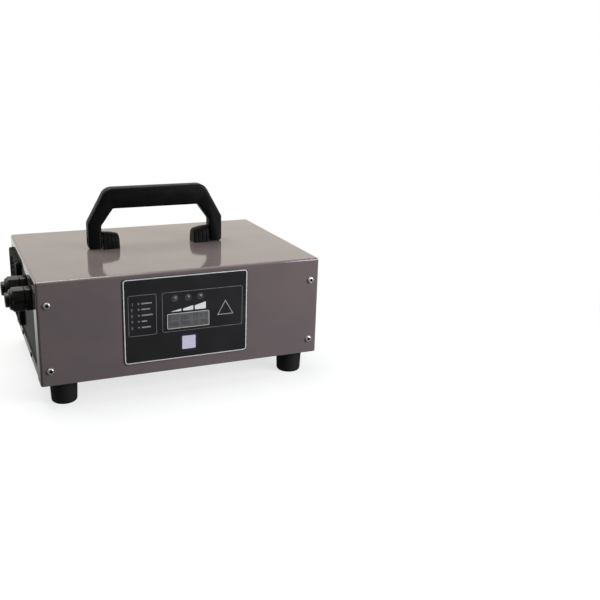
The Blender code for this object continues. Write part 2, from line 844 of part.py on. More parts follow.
def make_glands():
    count = 18
    nut_top = gland_base + gland_nut_length
    neck_top = gland_base + gland_neck
    nose_low = nut_top + gland_nose_foot
    nose_top = nut_top + gland_nose_length
    flats, corner = gland_flats, gland_corners / 2
    low_flats, low_corner = flats - 2 * gland_edge, corner - gland_edge
    tail = -sheet - gland_tail
    body = [
        circle(gland_bore, neck_top, count),
        circle(gland_neck_radius, neck_top, count),
        circle(gland_neck_radius, gland_base, count),
        hexagon(low_flats, gland_base, count, low_corner),
        hexagon(flats, gland_base - gland_edge, count, corner),
        hexagon(flats, 0, count, corner),
        circle(gland_thread_radius, 0, count),
        circle(gland_thread_radius, tail, count),
        circle(gland_bore, tail, count),
    ]
    seat = gland_base + seat_gap
    shoulder = gland_base + gland_nut_flats_length
    inner = gland_neck_radius + seat_gap
    nut = [
        circle(inner, seat, count),
        hexagon(low_flats, seat, count, low_corner),
        hexagon(flats, seat + gland_edge, count, corner),
        hexagon(flats, shoulder, count, corner),
        circle(flats / 2 - gland_edge, shoulder + gland_dome_start, count),
        circle(flats / 2 - gland_dome_inset, nose_low - gland_dome_end, count),
        circle(gland_nose_radius, nose_low, count),
        circle(gland_nose_radius, nose_top - gland_edge, count),
        circle(gland_nose_radius - gland_edge, nose_top, count),
        circle(gland_mouth_radius, nose_top, count),
        circle(gland_mouth_radius, nut_top, count),
        circle(inner, neck_top + 2 * seat_gap, count),
    ]
    seal_mouth = gland_mouth_radius - seat_gap
    seal = [
        circle(seal_bore, neck_top + seat_gap, count),
        circle(seal_radius, neck_top + seat_gap, count),
        circle(seal_radius, neck_top + seat_gap + seal_rim, count),
        circle(seal_mouth, nut_top - seat_gap, count),
        circle(seal_mouth, nose_low + gland_nose_foot, count),
        circle(seal_bore, nose_low + gland_nose_foot, count),
    ]
    back = -sheet - 2 * seat_gap
    locknut = [
        circle(gland_thread_radius + seat_gap, back, count),
        hexagon(locknut_flats, back, count, locknut_corners / 2),
        hexagon(locknut_flats, back - locknut_thickness, count, locknut_corners / 2),
        circle(gland_thread_radius + seat_gap, back - locknut_thickness, count),
    ]
    pieces = (
        ("body", body, black_nylon), ("nut", nut, black_nylon),
        ("seal", seal, black_rubber), ("locknut", locknut, black_nylon),
    )
    turned_by = Matrix.Rotation(math.radians(gland_turn), 4, "Z")
    for y, label in ((gland_front_y, "front"), (gland_rear_y, "rear")):
        for kind, rings, finish in pieces:
            made = add(f"gland_{kind}_{label}", loft(rings, closed=True), finish)
            made.location = (-inside_x - seat_gap, y, underside + gland_z)
            made.rotation_euler = (to_left @ turned_by).to_euler()


# The holes for the fan's four screws, about the fan's own middle.
def fan_screw_holes(length):
    return [
        hole(fan_screw_radius + hole_gap, length,
             Vector((0, y - fan_y, z - underside - fan_z)), to_right)
        for y, z in fan_corners()
    ]


def make_fan_frame():
    half = fan_size / 2
    square = rounded_rectangle(-half, half, -half, half, fan_corner, 2)
    frame = add("fan_frame", extruded(square, "x", 0, fan_flange), black_nylon)
    frame.location = (fan_inside_x, fan_y, underside + fan_z)
    overlap = fan_flange / 2
    barrel = turned([(half - fan_waist, overlap), (half - fan_waist, fan_depth - overlap)], 36)
    rear = extruded(square, "x", fan_depth - fan_flange, fan_depth)
    join(frame, moved(barrel, Vector(), to_right), rear)
    cut(frame, hole(fan_bore, fan_depth + bend, Vector(), to_right, 36))
    reach = fan_bore + fan_wall / 2
    strut_front = fan_depth - strut_depth
    strut_rear = fan_depth - strut_rise
    width = strut_width / 2
    plate = turned([(fan_hub_radius, strut_rear - strut_rise - hub_plate),
                    (fan_hub_radius, strut_rear - strut_rise)], 20)
    tube = turned([(bearing_radius, strut_front - bearing_length),
                   (bearing_radius, strut_front)], 12)
    join(
        frame,
        block(strut_front, strut_rear, -reach, reach, -width, width),
        block(strut_front, strut_rear, -width, width, -reach, reach),
        moved(plate, Vector(), to_right), moved(tube, Vector(), to_right),
    )
    shaft = turned([(fan_shaft_radius + slip_gap, strut_front - bearing_length - sheet),
                    (fan_shaft_radius + slip_gap, fan_depth - bearing_floor)], 12)
    cut(frame, merged([moved(shaft, Vector(), to_right)] + fan_screw_holes(fan_depth + bend)))


# A hub like a cup, on a shaft that turns in the frame's bearing, with twisted blades round it.
def make_fan_rotor():
    front = fan_hub_front
    hub_end = front + fan_hub_depth
    inner = fan_hub_radius - fan_hub_wall
    shaft_end = fan_depth - bearing_floor - seat_gap
    cup = [
        (fan_hub_radius - fan_hub_edge, front), (fan_hub_radius, front + fan_hub_edge),
        (fan_hub_radius, hub_end), (inner, hub_end),
        (inner, front + fan_hub_face), (fan_shaft_radius, front + fan_hub_face),
        (fan_shaft_radius, shaft_end),
    ]
    rotor = add("fan_rotor", moved(turned(cup, 20), Vector(), to_right), black_nylon)
    rotor.location = (fan_inside_x, fan_y, underside + fan_z)
    middle = front + fan_hub_depth / 2
    root = fan_hub_radius - fan_hub_wall / 2
    tip = fan_bore - fan_tip_gap
    blades = []
    for number in range(fan_blades):
        rings = []
        for share in (0, 1 / 3, 2 / 3, 1):
            radius = root + (tip - root) * share
            pitch = math.radians(blade_root_pitch + (blade_tip_pitch - blade_root_pitch) * share)
            around = 2 * math.pi * number / fan_blades + blade_sweep * share
            ring = []
            for along, across in ((-1, -1), (1, -1), (1, 1), (-1, 1)):
                a = along * blade_chord / 2
                t = across * blade_thickness / 2
                axial = middle + a * math.sin(pitch) + t * math.cos(pitch)
                sweep = a * math.cos(pitch) - t * math.sin(pitch)
                turn = around + sweep / radius
                ring.append((axial, radius * math.cos(turn), radius * math.sin(turn)))
            rings.append(ring)
        blades.append(loft(rings))
    join(rotor, *blades)


# The guard is domed: the rings rise from its frame to its hub.
def make_fan_guard():
    half = fan_size / 2
    square = rounded_rectangle(-half, half, -half, half, guard_corner, 2)
    guard = add("fan_guard", extruded(square, "x", -guard_thickness, 0), black_nylon)
    guard.location = (-inside_x - seat_gap, fan_y, underside + fan_z)
    clear = half - guard_frame
    cut(guard, hole(clear, 3 * guard_thickness, Vector(), to_right, 36))
    pitch = (clear - guard_hub) / (guard_rings + 0.5)

    def rise(radius):
        return guard_rise * max(0, 1 - (radius / clear) ** 2)

    solids = []
    for number in range(guard_rings):
        middle = guard_hub + pitch * (number + 0.75)
        near, far = middle - guard_ring / 2, middle + guard_ring / 2
        low = guard_ring_inset + rise(middle)
        high = guard_thickness - guard_ring_inset + rise(middle)
        section = [(near, low), (far, low), (far, high), (near, high)]
        solids.append(moved(turned(section, 24, closed=True), Vector(), to_left))
    reach = half - guard_frame / 2
    along = [reach * (2 * step / guard_bar_steps - 1) for step in range(guard_bar_steps + 1)]
    near_edge = [(-guard_bar_inset - rise(y), y) for y in along]
    far_edge = [(-guard_thickness + guard_bar_inset - rise(y), y) for y in reversed(along)]
    for turn in (45, 135):
        bar = extruded(near_edge + far_edge, "z", -guard_ring / 2, guard_ring / 2)
        solids.append(moved(bar, Vector(), Matrix.Rotation(math.radians(turn), 4, "X")))
    low = guard_hub_inset + rise(guard_hub)
    high = guard_thickness - guard_hub_inset + rise(guard_hub)
    solids.append(moved(turned([(guard_hub, low), (guard_hub, high)], 20), Vector(), to_left))
    join(guard, *solids)
    cut(guard, merged(fan_screw_holes(3 * guard_thickness)))


def make_fan_screws():
    length = guard_thickness + sheet + fan_depth + fan_screw_reach
    for number, (y, z) in enumerate(fan_corners(), 1):
        form = screw_form(fan_screw_radius, fan_screw_head, fan_screw_head_height, length)
        place = Vector((-inside_x - seat_gap - guard_thickness, y, z))
        add_screw(f"fan_screw_{number}", form, place, to_left, black_steel)


def make_control_panel():
    z = underside + panel_middle_z
    front = -half_depth - seat_gap - panel_thickness
    back = -half_depth - seat_gap
    outline = rounded_rectangle(
        -panel_width / 2, panel_width / 2, z - panel_height / 2, z + panel_height / 2,
        panel_corner,
    )
    film = add("control_panel", extruded(outline, "y", front, back), panel_film)
    window = block(
        display_x - display_width / 2, display_x + display_width / 2,
        front - bend, back + bend,
        underside + display_z - display_height / 2, underside + display_z + display_height / 2,
    )
    lamps = [
        hole(lamp_radius + seat_gap, 3 * panel_thickness,
             Vector((x, back, underside + lamp_z)), to_front)
        for x in lamp_xs
    ]
    cut(film, merged([window] + lamps))


def make_display():
    low = underside + display_z - display_height / 2
    high = underside + display_z + display_height / 2
    x0 = display_x - display_width / 2
    x1 = display_x + display_width / 2
    back = display_board_face - seat_gap
    rim_face = -half_depth + sheet + seat_gap
    display = add("display", block(
        x0 - display_rim, x1 + display_rim, rim_face, back, low - display_rim, high + display_rim
    ), display_glass)
    face_y = -half_depth - seat_gap - panel_thickness + display_face_inset
    face = block(
        x0 + seat_gap, x1 - seat_gap, face_y, (rim_face + back) / 2,
        low + seat_gap, high - seat_gap,
    )
    join(display, face)
    board = block(
        display_x - display_board_width / 2, display_x + display_board_width / 2,
        display_board_face, display_board_face + board_thickness,
        underside + display_board_middle_z - display_board_height / 2,
        underside + display_board_middle_z + display_board_height / 2,
    )
    add("display_board", board, circuit_board)
    collar = lamp_radius + lamp_collar
    tip = display_board_face + half_depth + panel_thickness + lamp_proud
    profile = [
        (collar, 0), (collar, lamp_collar_height), (lamp_radius, lamp_collar_height),
        (lamp_radius, tip - lamp_dome), (lamp_radius * 0.8, tip - lamp_dome / 3),
        (lamp_radius * 0.35, tip),
    ]
    for number, x in enumerate(lamp_xs, 1):
        lamp = add(f"status_lamp_{number}", turned(profile, 12), lamp_plastic)
        lamp.location = (x, display_board_face - seat_gap, underside + lamp_z)
        lamp.rotation_euler = to_front.to_euler()


def make_main_board():
    x, y = main_board_middle
    half_x, half_y = main_board_size[0] / 2, main_board_size[1] / 2
    board = block(x - half_x, x + half_x, y - half_y, y + half_y,
                  main_board_top - board_thickness, main_board_top)
    add("main_board", board, circuit_board)


def make_heatsink():
    length, depth, height = heatsink_size
    x = main_board_middle[0]
    gap = (depth - heatsink_fin) / (heatsink_fins - 1)
    outline = [(heatsink_y - depth / 2, part_seat), (heatsink_y + depth / 2, part_seat)]
    top = part_seat + height
    web = part_seat + heatsink_web
    for number in range(heatsink_fins):
        y = heatsink_y + depth / 2 - number * gap
        outline += [(y, top), (y - heatsink_fin, top)]
        if number < heatsink_fins - 1:
            outline += [(y - heatsink_fin, web), (y - gap, web)]
    add("heatsink", extruded(outline, "x", x - length / 2, x + length / 2), bare_aluminium)


def make_transformer():
    x, y = core_middle
    length, depth, height = core_size
    core = add("transformer_core", block(
        x - length / 2, x + length / 2, y - depth / 2, y + depth / 2, part_seat, part_seat + height
    ), ferrite)
    window_inner = core_limb / 2
    window_outer = length / 2 - core_limb / 2
    window_low = part_seat + core_limb / 2
    window_high = part_seat + height - core_limb / 2
    for side in (-1, 1):
        near, far = sorted((x + side * window_inner, x + side * window_outer))
        cut(core, block(near, far, y - depth, y + depth, window_low, window_high))

    def ring(half_x, half_y, z):
        outline = rounded_rectangle(
            x - half_x, x + half_x, y - half_y, y + half_y, winding_corner, 3
        )
        return [(u, v, z) for u, v in outline]

    low = window_low + seat_gap
    high = window_high - seat_gap
    inner_x = window_inner + seat_gap
    outer_x = window_outer - seat_gap
    inner_y = depth / 2 + winding_gap
    outer_y = depth / 2 + winding_overhang
    rings = [
        ring(inner_x, inner_y, low),
        ring(outer_x, outer_y, low),
        ring(outer_x, outer_y, high),
        ring(inner_x, inner_y, high),
    ]
    add("transformer_winding", loft(rings, closed=True), copper_winding)


def make_capacitors():
    radius, height, edge = capacitor_radius, capacitor_height, capacitor_edge
    profile = [(radius - edge, 0), (radius, edge), (radius, height - edge), (radius - edge, height)]
    board_left = main_board_middle[0] - main_board_size[0] / 2
    for number in (1, 2):
        can = add(f"capacitor_{number}", turned(profile, 18), sleeve_blue)
        x = board_left + capacitor_inset + (2 - number) * capacitor_pitch
        can.location = (x, capacitor_y, part_seat)


def make_choke():
    half = choke_thickness
    section = arc((choke_radius - half, half), half, 0, 315, 7)
    ring = add("output_choke", turned(section, 18, closed=True), copper_winding)
    board_right = main_board_middle[0] + main_board_size[0] / 2
    ring.location = (board_right - choke_inset, choke_y, part_seat)


def make_terminals():
    x, y = terminal_middle
    length, depth, height = terminal_size
    terminals = add("terminal_block", block(
        x - length / 2, x + length / 2, y - depth / 2, y + depth / 2, part_seat, part_seat + height
    ), terminal_green)
    pitch = length / terminal_ways
    half = terminal_mouth / 2
    low = part_seat + terminal_mouth_rise
    mouths = []
    for way in range(terminal_ways):
        middle = x - length / 2 + pitch * (way + 0.5)
        mouths.append(block(
            middle - half, middle + half, y - depth, y - depth / 2 + terminal_mouth_depth,
            low, low + terminal_mouth,
        ))
    cut(terminals, merged(mouths))


make_cover()
make_base()
make_left_end()
make_right_end()
make_cover_screws()
make_flange_screws()
make_feet()
make_handle()
make_blocks()
make_glands()
make_fan_frame()
make_fan_rotor()
make_fan_guard()
make_fan_screws()
make_control_panel()
make_display()
make_main_board()
make_heatsink()
make_transformer()
make_capacitors()
make_choke()
make_terminals()
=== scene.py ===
import math

import bmesh
import bpy
from mathutils import Matrix, Vector


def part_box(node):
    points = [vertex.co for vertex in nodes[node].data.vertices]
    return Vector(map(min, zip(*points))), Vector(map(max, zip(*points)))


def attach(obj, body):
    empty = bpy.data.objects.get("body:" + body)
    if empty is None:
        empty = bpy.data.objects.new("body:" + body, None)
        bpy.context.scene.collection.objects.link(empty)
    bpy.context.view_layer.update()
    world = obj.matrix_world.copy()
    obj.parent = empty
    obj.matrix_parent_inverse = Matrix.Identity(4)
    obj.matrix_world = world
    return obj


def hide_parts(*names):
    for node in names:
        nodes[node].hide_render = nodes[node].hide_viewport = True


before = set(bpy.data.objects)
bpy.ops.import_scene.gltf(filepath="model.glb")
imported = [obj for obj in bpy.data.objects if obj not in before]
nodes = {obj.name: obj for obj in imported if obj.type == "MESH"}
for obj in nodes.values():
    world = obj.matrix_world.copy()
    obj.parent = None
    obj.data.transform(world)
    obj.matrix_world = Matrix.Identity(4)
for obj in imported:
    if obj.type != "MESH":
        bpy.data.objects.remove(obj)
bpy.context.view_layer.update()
mm = 0.001

# Places that the rest is measured from: the case's middle, its underside and the panel's face.
coverLow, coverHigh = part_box("cover")
caseX = (coverLow.x + coverHigh.x) / 2
caseZ = coverLow.z
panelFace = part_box("control_panel")[0].y


# camera, floor and light

print("camera")
cameraSettings = {
    "place": (-0.23355, -0.9021, 0.3701),
    "aim": (0.11655, -0.0423, 0.0742),
    "roll": 1.035,      # degrees
    "lens": 47.5,       # mm
    "sensor": 36,       # mm wide
    "shift": 0.0833,    # the charger stands left of the photograph's middle
}


def makeCamera(settings):
    camera = bpy.data.objects.new("camera", bpy.data.cameras.new("camera"))
    bpy.context.scene.collection.objects.link(camera)
    place, aim = Vector(settings["place"]), Vector(settings["aim"])
    back = (place - aim).normalized()
    right = Vector((0, 0, 1)).cross(back).normalized()
    up = back.cross(right)
    turn = Matrix((right, up, back)).transposed().to_4x4()
    camera.matrix_world = (
        Matrix.Translation(place) @ turn @ Matrix.Rotation(math.radians(settings["roll"]), 4, "Z")
    )
    camera.data.sensor_width = settings["sensor"]
    camera.data.lens = settings["lens"]
    camera.data.shift_x = settings["shift"]
    bpy.context.scene.camera = camera


makeCamera(cameraSettings)


def addNode(tree, kind, inputs=None, **settings):
    node = tree.nodes.new(kind)
    for name, value in settings.items():
        setattr(node, name, value)
    for name, value in (inputs or {}).items():
        if isinstance(value, bpy.types.NodeSocket):
            tree.links.new(value, node.inputs[name])
        else:
            node.inputs[name].default_value = value
    return node


def colour(hexValue):
    shares = [int(hexValue[i:i + 2], 16) / 255 for i in (1, 3, 5)]
    linear = [c / 12.92 if c <= 0.04045 else ((c + 0.055) / 1.055) ** 2.4 for c in shares]
    return (*linear, 1)


# One for a ray that looks straight at the background, or through glass.
def straightRay(tree, path):
    return addNode(tree, "ShaderNodeMath", {
        0: path.outputs["Is Camera Ray"], 1: path.outputs["Is Transmission Ray"],
    }, operation="MAXIMUM").outputs[0]


print("light")
lightSettings = {
    "ambient": 0.3,        # the room's own light on the object
    "gloss": (0.115, 1.03),    # what a gloss shows: the dim room in front, the pale wall behind
    "wall": "#fef8ed",     # the wall's colour in a gloss
    "wallSide": (0.0, 0.75, 0.66),
    "glossFrom": -0.3,     # how far a ray leans to that side where the wall starts to show
    "glossTo": 0.35,       # and where it shows in full
    "lamps": (
        # name, place, aim, size in metres, watts, colour
        ("overhead", (-0.25, 0.35, 1.5), (0.0, 0.0, 0.08), 1.3, 29, "#f8fdf6"),
        ("rightFill", (0.75, -0.75, 0.45), (0.05, -0.05, 0.08), 0.6, 13.0, "#f4f6ff"),
    ),
}


def makeLight(settings):
    world = bpy.data.worlds.new("paleRoom")
    world.use_nodes = True
    bpy.context.scene.world = world
    tree = world.node_tree
    background = tree.nodes["Background"]
    path = addNode(tree, "ShaderNodeLightPath")
    wallShade = addNode(tree, "ShaderNodeMix", {
        0: path.outputs["Is Glossy Ray"], 6: (1, 1, 1, 1), 7: colour(settings["wall"]),
    }, data_type="RGBA")
    tree.links.new(wallShade.outputs[2], background.inputs["Color"])
    way = addNode(tree, "ShaderNodeTexCoord")
    towards = addNode(tree, "ShaderNodeVectorMath", {
        0: way.outputs["Generated"], 1: settings["wallSide"],
    }, operation="DOT_PRODUCT")
    low, high = settings["gloss"]
    shown = addNode(tree, "ShaderNodeMapRange", {
        "Value": towards.outputs["Value"], "To Min": low, "To Max": high,
        "From Min": settings["glossFrom"], "From Max": settings["glossTo"],
    }, interpolation_type="SMOOTHSTEP")
    onObject = addNode(tree, "ShaderNodeMix", {
        0: path.outputs["Is Glossy Ray"], 2: settings["ambient"], 3: shown.outputs["Result"],
    }, data_type="FLOAT")
    strength = addNode(tree, "ShaderNodeMix", {
        0: straightRay(tree, path), 2: onObject.outputs[0], 3: 1.0,
    }, data_type="FLOAT")
    tree.links.new(strength.outputs[0], background.inputs["Strength"])
    for name, place, aim, size, watts, tone in settings["lamps"]:
        lamp = bpy.data.lights.new(name, "AREA")
        lamp.shape = "DISK"
        lamp.size = size
        lamp.energy = watts
        lamp.color = colour(tone)[:3]
        made = bpy.data.objects.new(name, lamp)
        bpy.context.scene.collection.objects.link(made)
        made.location = place
        direction = Vector(aim) - Vector(place)
        made.rotation_euler = direction.to_track_quat("-Z", "Y").to_euler()


makeLight(lightSettings)
bpy.context.scene.view_settings.view_transform = "Standard"

floorSettings = {
    "half": 6.0,           # metres
    "pale": "#e9e9e9",     # what the eye sees
    "bounce": "#808080",   # what the charger sees, so that it isn't lit from below
    "glow": 0.72,          # how much of the paper's white stays in a shadow
    "gloss": (0.2, 1.0),   # what a gloss shows of it: dim in front, pale behind
    "glossFrom": -0.12,    # metres along y
    "glossTo": 0.33,
    "fadeFrom": 0.30,      # metres from the charger, where the floor starts to turn into the background
    "fadeTo": 0.75,
}


def makeFloor(settings):
    half = settings["half"]
    mesh = bpy.data.meshes.new("floor")
    corners = [(-half, -half, 0), (half, -half, 0), (half, half, 0), (-half, half, 0)]
    mesh.from_pydata(corners, [], [(0, 1, 2, 3)])
    floor = bpy.data.objects.new("floor", mesh)
    bpy.context.scene.collection.objects.link(floor)
    made = bpy.data.materials.new("paleFloor")
    made.use_nodes = True
    tree = made.node_tree
    tree.nodes.remove(tree.nodes["Principled BSDF"])
    path = addNode(tree, "ShaderNodeLightPath")
    straight = straightRay(tree, path)
    tone = addNode(tree, "ShaderNodeMix", {
        0: straight, 6: colour(settings["bounce"]), 7: colour(settings["pale"]),
    }, data_type="RGBA")
    paper = addNode(tree, "ShaderNodeBsdfDiffuse", {"Color": tone.outputs[2]})
    place = addNode(tree, "ShaderNodeTexCoord")
    depth = addNode(tree, "ShaderNodeSeparateXYZ", {0: place.outputs["Object"]})
    low, high = settings["gloss"]
    pale = addNode(tree, "ShaderNodeMapRange", {
        "Value": depth.outputs["Y"], "To Min": low, "To Max": high,
        "From Min": settings["glossFrom"], "From Max": settings["glossTo"],
    }, interpolation_type="SMOOTHSTEP")
    shown = addNode(tree, "ShaderNodeMix", {
        0: path.outputs["Is Glossy Ray"], 2: straight, 3: pale.outputs["Result"],
    }, data_type="FLOAT")
    white = addNode(tree, "ShaderNodeEmission", {"Strength": shown.outputs[0]})
    reach = addNode(tree, "ShaderNodeVectorMath", {0: place.outputs["Object"]}, operation="LENGTH")
    fade = addNode(tree, "ShaderNodeMapRange", {
        "Value": reach.outputs["Value"], "To Min": settings["glow"],
        "From Min": settings["fadeFrom"], "From Max": settings["fadeTo"],
    }, interpolation_type="SMOOTHSTEP")
    mixed = addNode(tree, "ShaderNodeMixShader", {
        0: fade.outputs["Result"], 1: paper.outputs[0], 2: white.outputs[0],
    })
    tree.links.new(mixed.outputs[0], tree.nodes["Material Output"].inputs["Surface"])
    mesh.materials.append(made)


makeFloor(floorSettings)


# materials

# The plain numbers of a finish, and the shader's sockets that they go to.
shaderSockets = {
    "ior": "IOR", "specular": "Specular IOR Level", "metallic": "Metallic",
    "roughness": "Roughness", "coat": "Coat Weight",
}

# A noise mostly stays within these, so they are stretched to the whole of a tint or a gloss.
noiseSpans = {"tint": (0.35, 0.65), "gloss": (0.3, 0.7)}


def newMaterial(name, look):
    made = bpy.data.materials.new(name)
    made.use_nodes = True
    tree = made.node_tree
    shader = tree.nodes["Principled BSDF"]
    for word, socket in shaderSockets.items():
        if word in look:
            shader.inputs[socket].default_value = look[word]
    place = addNode(tree, "ShaderNodeTexCoord").outputs["Object"]
    return made, tree, shader, place


# One pattern tints the shader and varies its gloss, and one, often a finer one, gives it relief.
def dressShader(tree, shader, look, pattern, height):
    low, high = look.get("tintSpan", noiseSpans["tint"])
    share = addNode(tree, "ShaderNodeMapRange", {"Value": pattern, "From Min": low, "From Max": high})
    mixed = addNode(tree, "ShaderNodeMix", {
        0: share.outputs["Result"], 6: colour(look["dark"]), 7: colour(look["light"]),
    }, data_type="RGBA")
    tree.links.new(mixed.outputs[2], shader.inputs["Base Color"])
    if "gloss" in look:
        low, high = noiseSpans["gloss"]
        smooth, rough = look["gloss"]
        spread = addNode(tree, "ShaderNodeMapRange", {
            "Value": pattern, "From Min": low, "From Max": high, "To Min": smooth, "To Max": rough,
        })
        tree.links.new(spread.outputs["Result"], shader.inputs["Roughness"])
    if "depth" in look:
        bump = addNode(tree, "ShaderNodeBump", {"Height": height, "Distance": look["depth"]})
        tree.links.new(bump.outputs["Normal"], shader.inputs["Normal"])


# The usual finish: its colour and gloss drift in soft clouds, and a finer grain gives it relief.
# A cloud or a grain is the size of its patches, and how much finer detail they have.
def makeFinish(name, look):
    made, tree, shader, place = newMaterial(name, look)
    noises = [
        addNode(tree, "ShaderNodeTexNoise", {"Vector": place, "Scale": 1 / size, "Detail": detail})
        for size, detail in (look[word] for word in ("cloud", "grain") if word in look)
    ]
    dressShader(tree, shader, look, noises[0].outputs["Fac"], noises[-1].outputs["Fac"])
    return made


print("materials")
# Polyester powder coat, sprayed on steel sheet and baked: a glossy skin with a slight orange peel.
# The end plates have a duller one.
taupeCoatSettings = {
    "dark": "#645a5a", "light": "#695e5d", "gloss": (0.07, 0.10), "ior": 1.5, "specular": 0.5,
    "cloud": (45 * mm, 2),     # soft unevenness of the coat
    "grain": (3.0 * mm, 1),    # from one hump of the skin to the next
    "depth": 0.002 * mm,
}
greyCoatSettings = {
    **taupeCoatSettings, "dark": "#2e2e2e", "light": "#333333", "gloss": (0.56, 0.64), "specular": 0.25,
}
taupePowderCoat = makeFinish("taupePowderCoat", taupeCoatSettings)
greyPowderCoat = makeFinish("greyPowderCoat", greyCoatSettings)

# Things moulded in black. What an eroded tool leaves on their skin is drawn coarser than the real
# 0.1 mm, or it wouldn't show. The glands' tool is smoother, so their facets catch more light.
nylonSettings = {
    "dark": "#060607", "light": "#09090a", "ior": 1.53, "specular": 0.08, "gloss": (0.36, 0.46),
    "cloud": (14 * mm, 2), "grain": (0.5 * mm, 3), "depth": 0.012 * mm,
}
polyamideSettings = {
    **nylonSettings, "specular": 0.2, "gloss": (0.22, 0.30), "grain": (0.6 * mm, 3), "depth": 0.01 * mm,
}
rubberSettings = {
    "dark": "#0a0a0a", "light": "#0f0f0f", "ior": 1.52, "specular": 0.3, "gloss": (0.62, 0.78),
    "cloud": (14 * mm, 2), "grain": (0.9 * mm, 3), "depth": 0.03 * mm,
}
absSettings = {
    "dark": "#080808", "light": "#0c0c0c", "ior": 1.53, "specular": 0.15, "gloss": (0.80, 0.90),
    "cloud": (14 * mm, 2), "grain": (0.7 * mm, 3), "depth": 0.03 * mm,
}
blackNylon = makeFinish("glassFilledNylon", nylonSettings)
smoothPolyamide = makeFinish("smoothPolyamide", polyamideSettings)
blackRubber = makeFinish("mouldedRubber", rubberSettings)
mattAbs = makeFinish("mattMouldedAbs", absSettings)

# Screws and pins, turned or headed cold and then plated or blackened: a soft shine, slightly mottled.
platedSettings = {
    "metallic": 1.0, "gloss": (0.34, 0.46),
    "cloud": (2.5 * mm, 3), "grain": (0.6 * mm, 2), "depth": 0.01 * mm,
}
zincPlate = makeFinish("zincPlatedSteel", {**platedSettings, "dark": "#c4c4c0", "light": "#d9d9d4"})
blackenedSteel = makeFinish("blackenedSteel", {**platedSettings, "dark": "#1b1b1c", "light": "#2a2a2b"})
paintedSocketShade = makeFinish("paintedSocketShade", {    # painted shade: the socket's walls and floor are darker than the head, for the shade inside the recess
    **platedSettings, "dark": "#484848", "light": "#585858", "gloss": (0.5, 0.6),
})

# Polyester film, printed on its back: a smooth black with the fine matt of its face.
filmSettings = {
    "dark": "#0b0b0d", "light": "#0f0f11", "ior": 1.57, "gloss": (0.30, 0.38),
    "cloud": (30 * mm, 2), "grain": (0.7 * mm, 2), "depth": 0.006 * mm,
}
panelFilm = makeFinish("polyesterFilm", filmSettings)

# Screen-printed inks. Each shows the film's matt and the slight unevenness of the squeegee.
inkSettings = {"ior": 1.5, "gloss": (0.36, 0.44), "cloud": (3 * mm, 2)}
inkColours = {
    "inkSilver": ("#cfcdc9", "#dad8d4"),      # the border and the display's frame
    "inkGrey": ("#808081", "#8a8a8b"),        # the two thin frames
    "inkPale": ("#dededc", "#e8e8e6"),        # the ramp
    "inkViolet": ("#1d1930", "#221d38"),      # round the key
    "inkLavender": ("#cac5d6", "#d3cfde"),    # the key
    "inkDim": ("#9c9c9e", "#a8a8aa"),         # the triangle
    "inkFaint": ("#868688", "#929294"),       # the legend
    "inkLamp": ("#525254", "#5e5e60"),        # rings round the lamps
    "inkDark": ("#2c2e2c", "#343634"),        # the display's own figures
}
inks = {
    name: makeFinish(name, {**inkSettings, "dark": dark, "light": light})
    for name, (dark, light) in inkColours.items()
}

# A liquid-crystal display, unlit: a dull grey glass, faintly clouded.
displaySettings = {
    "dark": "#5d5d5c", "light": "#666665", "ior": 1.5, "roughness": 0.12, "cloud": (9 * mm, 2),
}
displayGlass = makeFinish("displayGlass", displaySettings)

# A lamp's lens, cast in diffused epoxy over a dull chip: a soft grey with no glint.
lensSettings = {
    "dark": "#525253", "light": "#6e6e6f", "ior": 1.55, "roughness": 0.45, "cloud": (2 * mm, 2),
}
lampLens = makeFinish("epoxyLens", lensSettings)

# What the case holds: pressed and fired ferrite, sleeves shrunk on by heat, and a nylon moulding,
# each a little uneven in its sheen.
innerSettings = {"ior": 1.5, "depth": 0.02 * mm}
sinteredFerrite = makeFinish("sinteredFerrite", {
    **innerSettings, "dark": "#2b2b2d", "light": "#39393b", "gloss": (0.55, 0.7), "cloud": (1.5 * mm, 3),
})
shrinkSleeve = makeFinish("shrinkSleeve", {
    **innerSettings, "dark": "#121d45", "light": "#17244f", "gloss": (0.25, 0.35), "cloud": (8 * mm, 3),
})
terminalNylon = makeFinish("terminalNylon", {
    **innerSettings, "dark": "#1c5a2c", "light": "#226634", "gloss": (0.4, 0.5), "cloud": (1.0 * mm, 3),
})

# Glass-fibre board under green solder mask, with the copper's tracks raised in it.
boardSettings = {
    "ior": 1.5, "roughness": 0.3, "mask": ("#0f4a26", "#0d4022"), "track": "#1c6a3a",
    "width": 0.25 * mm, "length": 9 * mm, "pitch": 2.2 * mm, "depth": 0.03 * mm,    # of the tracks
}


def makeBoard(look):
    made, tree, shader, place = newMaterial("solderMask", look)
    mask = [colour(tone) for tone in look["mask"]]
    tracks = addNode(tree, "ShaderNodeTexBrick", {
        "Vector": place, "Scale": 1.0, "Mortar Size": look["width"], "Brick Width": look["length"],
        "Row Height": look["pitch"], "Color1": mask[0], "Color2": mask[1],
        "Mortar": colour(look["track"]),
    })
    bump = addNode(tree, "ShaderNodeBump", {"Height": tracks.outputs["Fac"], "Distance": look["depth"]})
    tree.links.new(tracks.outputs["Color"], shader.inputs["Base Color"])
    tree.links.new(bump.outputs["Normal"], shader.inputs["Normal"])
    return made


solderMask = makeBoard(boardSettings)

# Aluminium pressed through a die, whose fine lines run along it.
extrusionSettings = {
    "metallic": 1.0, "dark": "#a9aaac", "light": "#c0c1c3", "gloss": (0.28, 0.42),
    "line": 0.6 * mm, "stretch": 0.02, "depth": 0.01 * mm,
}


def makeExtrusion(look):
    made, tree, shader, place = newMaterial("extrudedAluminium", look)
    along = addNode(tree, "ShaderNodeMapping", {"Vector": place, "Scale": (look["stretch"], 1, 1)})
    lines = addNode(tree, "ShaderNodeTexNoise", {
        "Vector": along.outputs["Vector"], "Scale": 1 / look["line"], "Detail": 2,
    }).outputs["Fac"]
    dressShader(tree, shader, look, lines, lines)
    return made


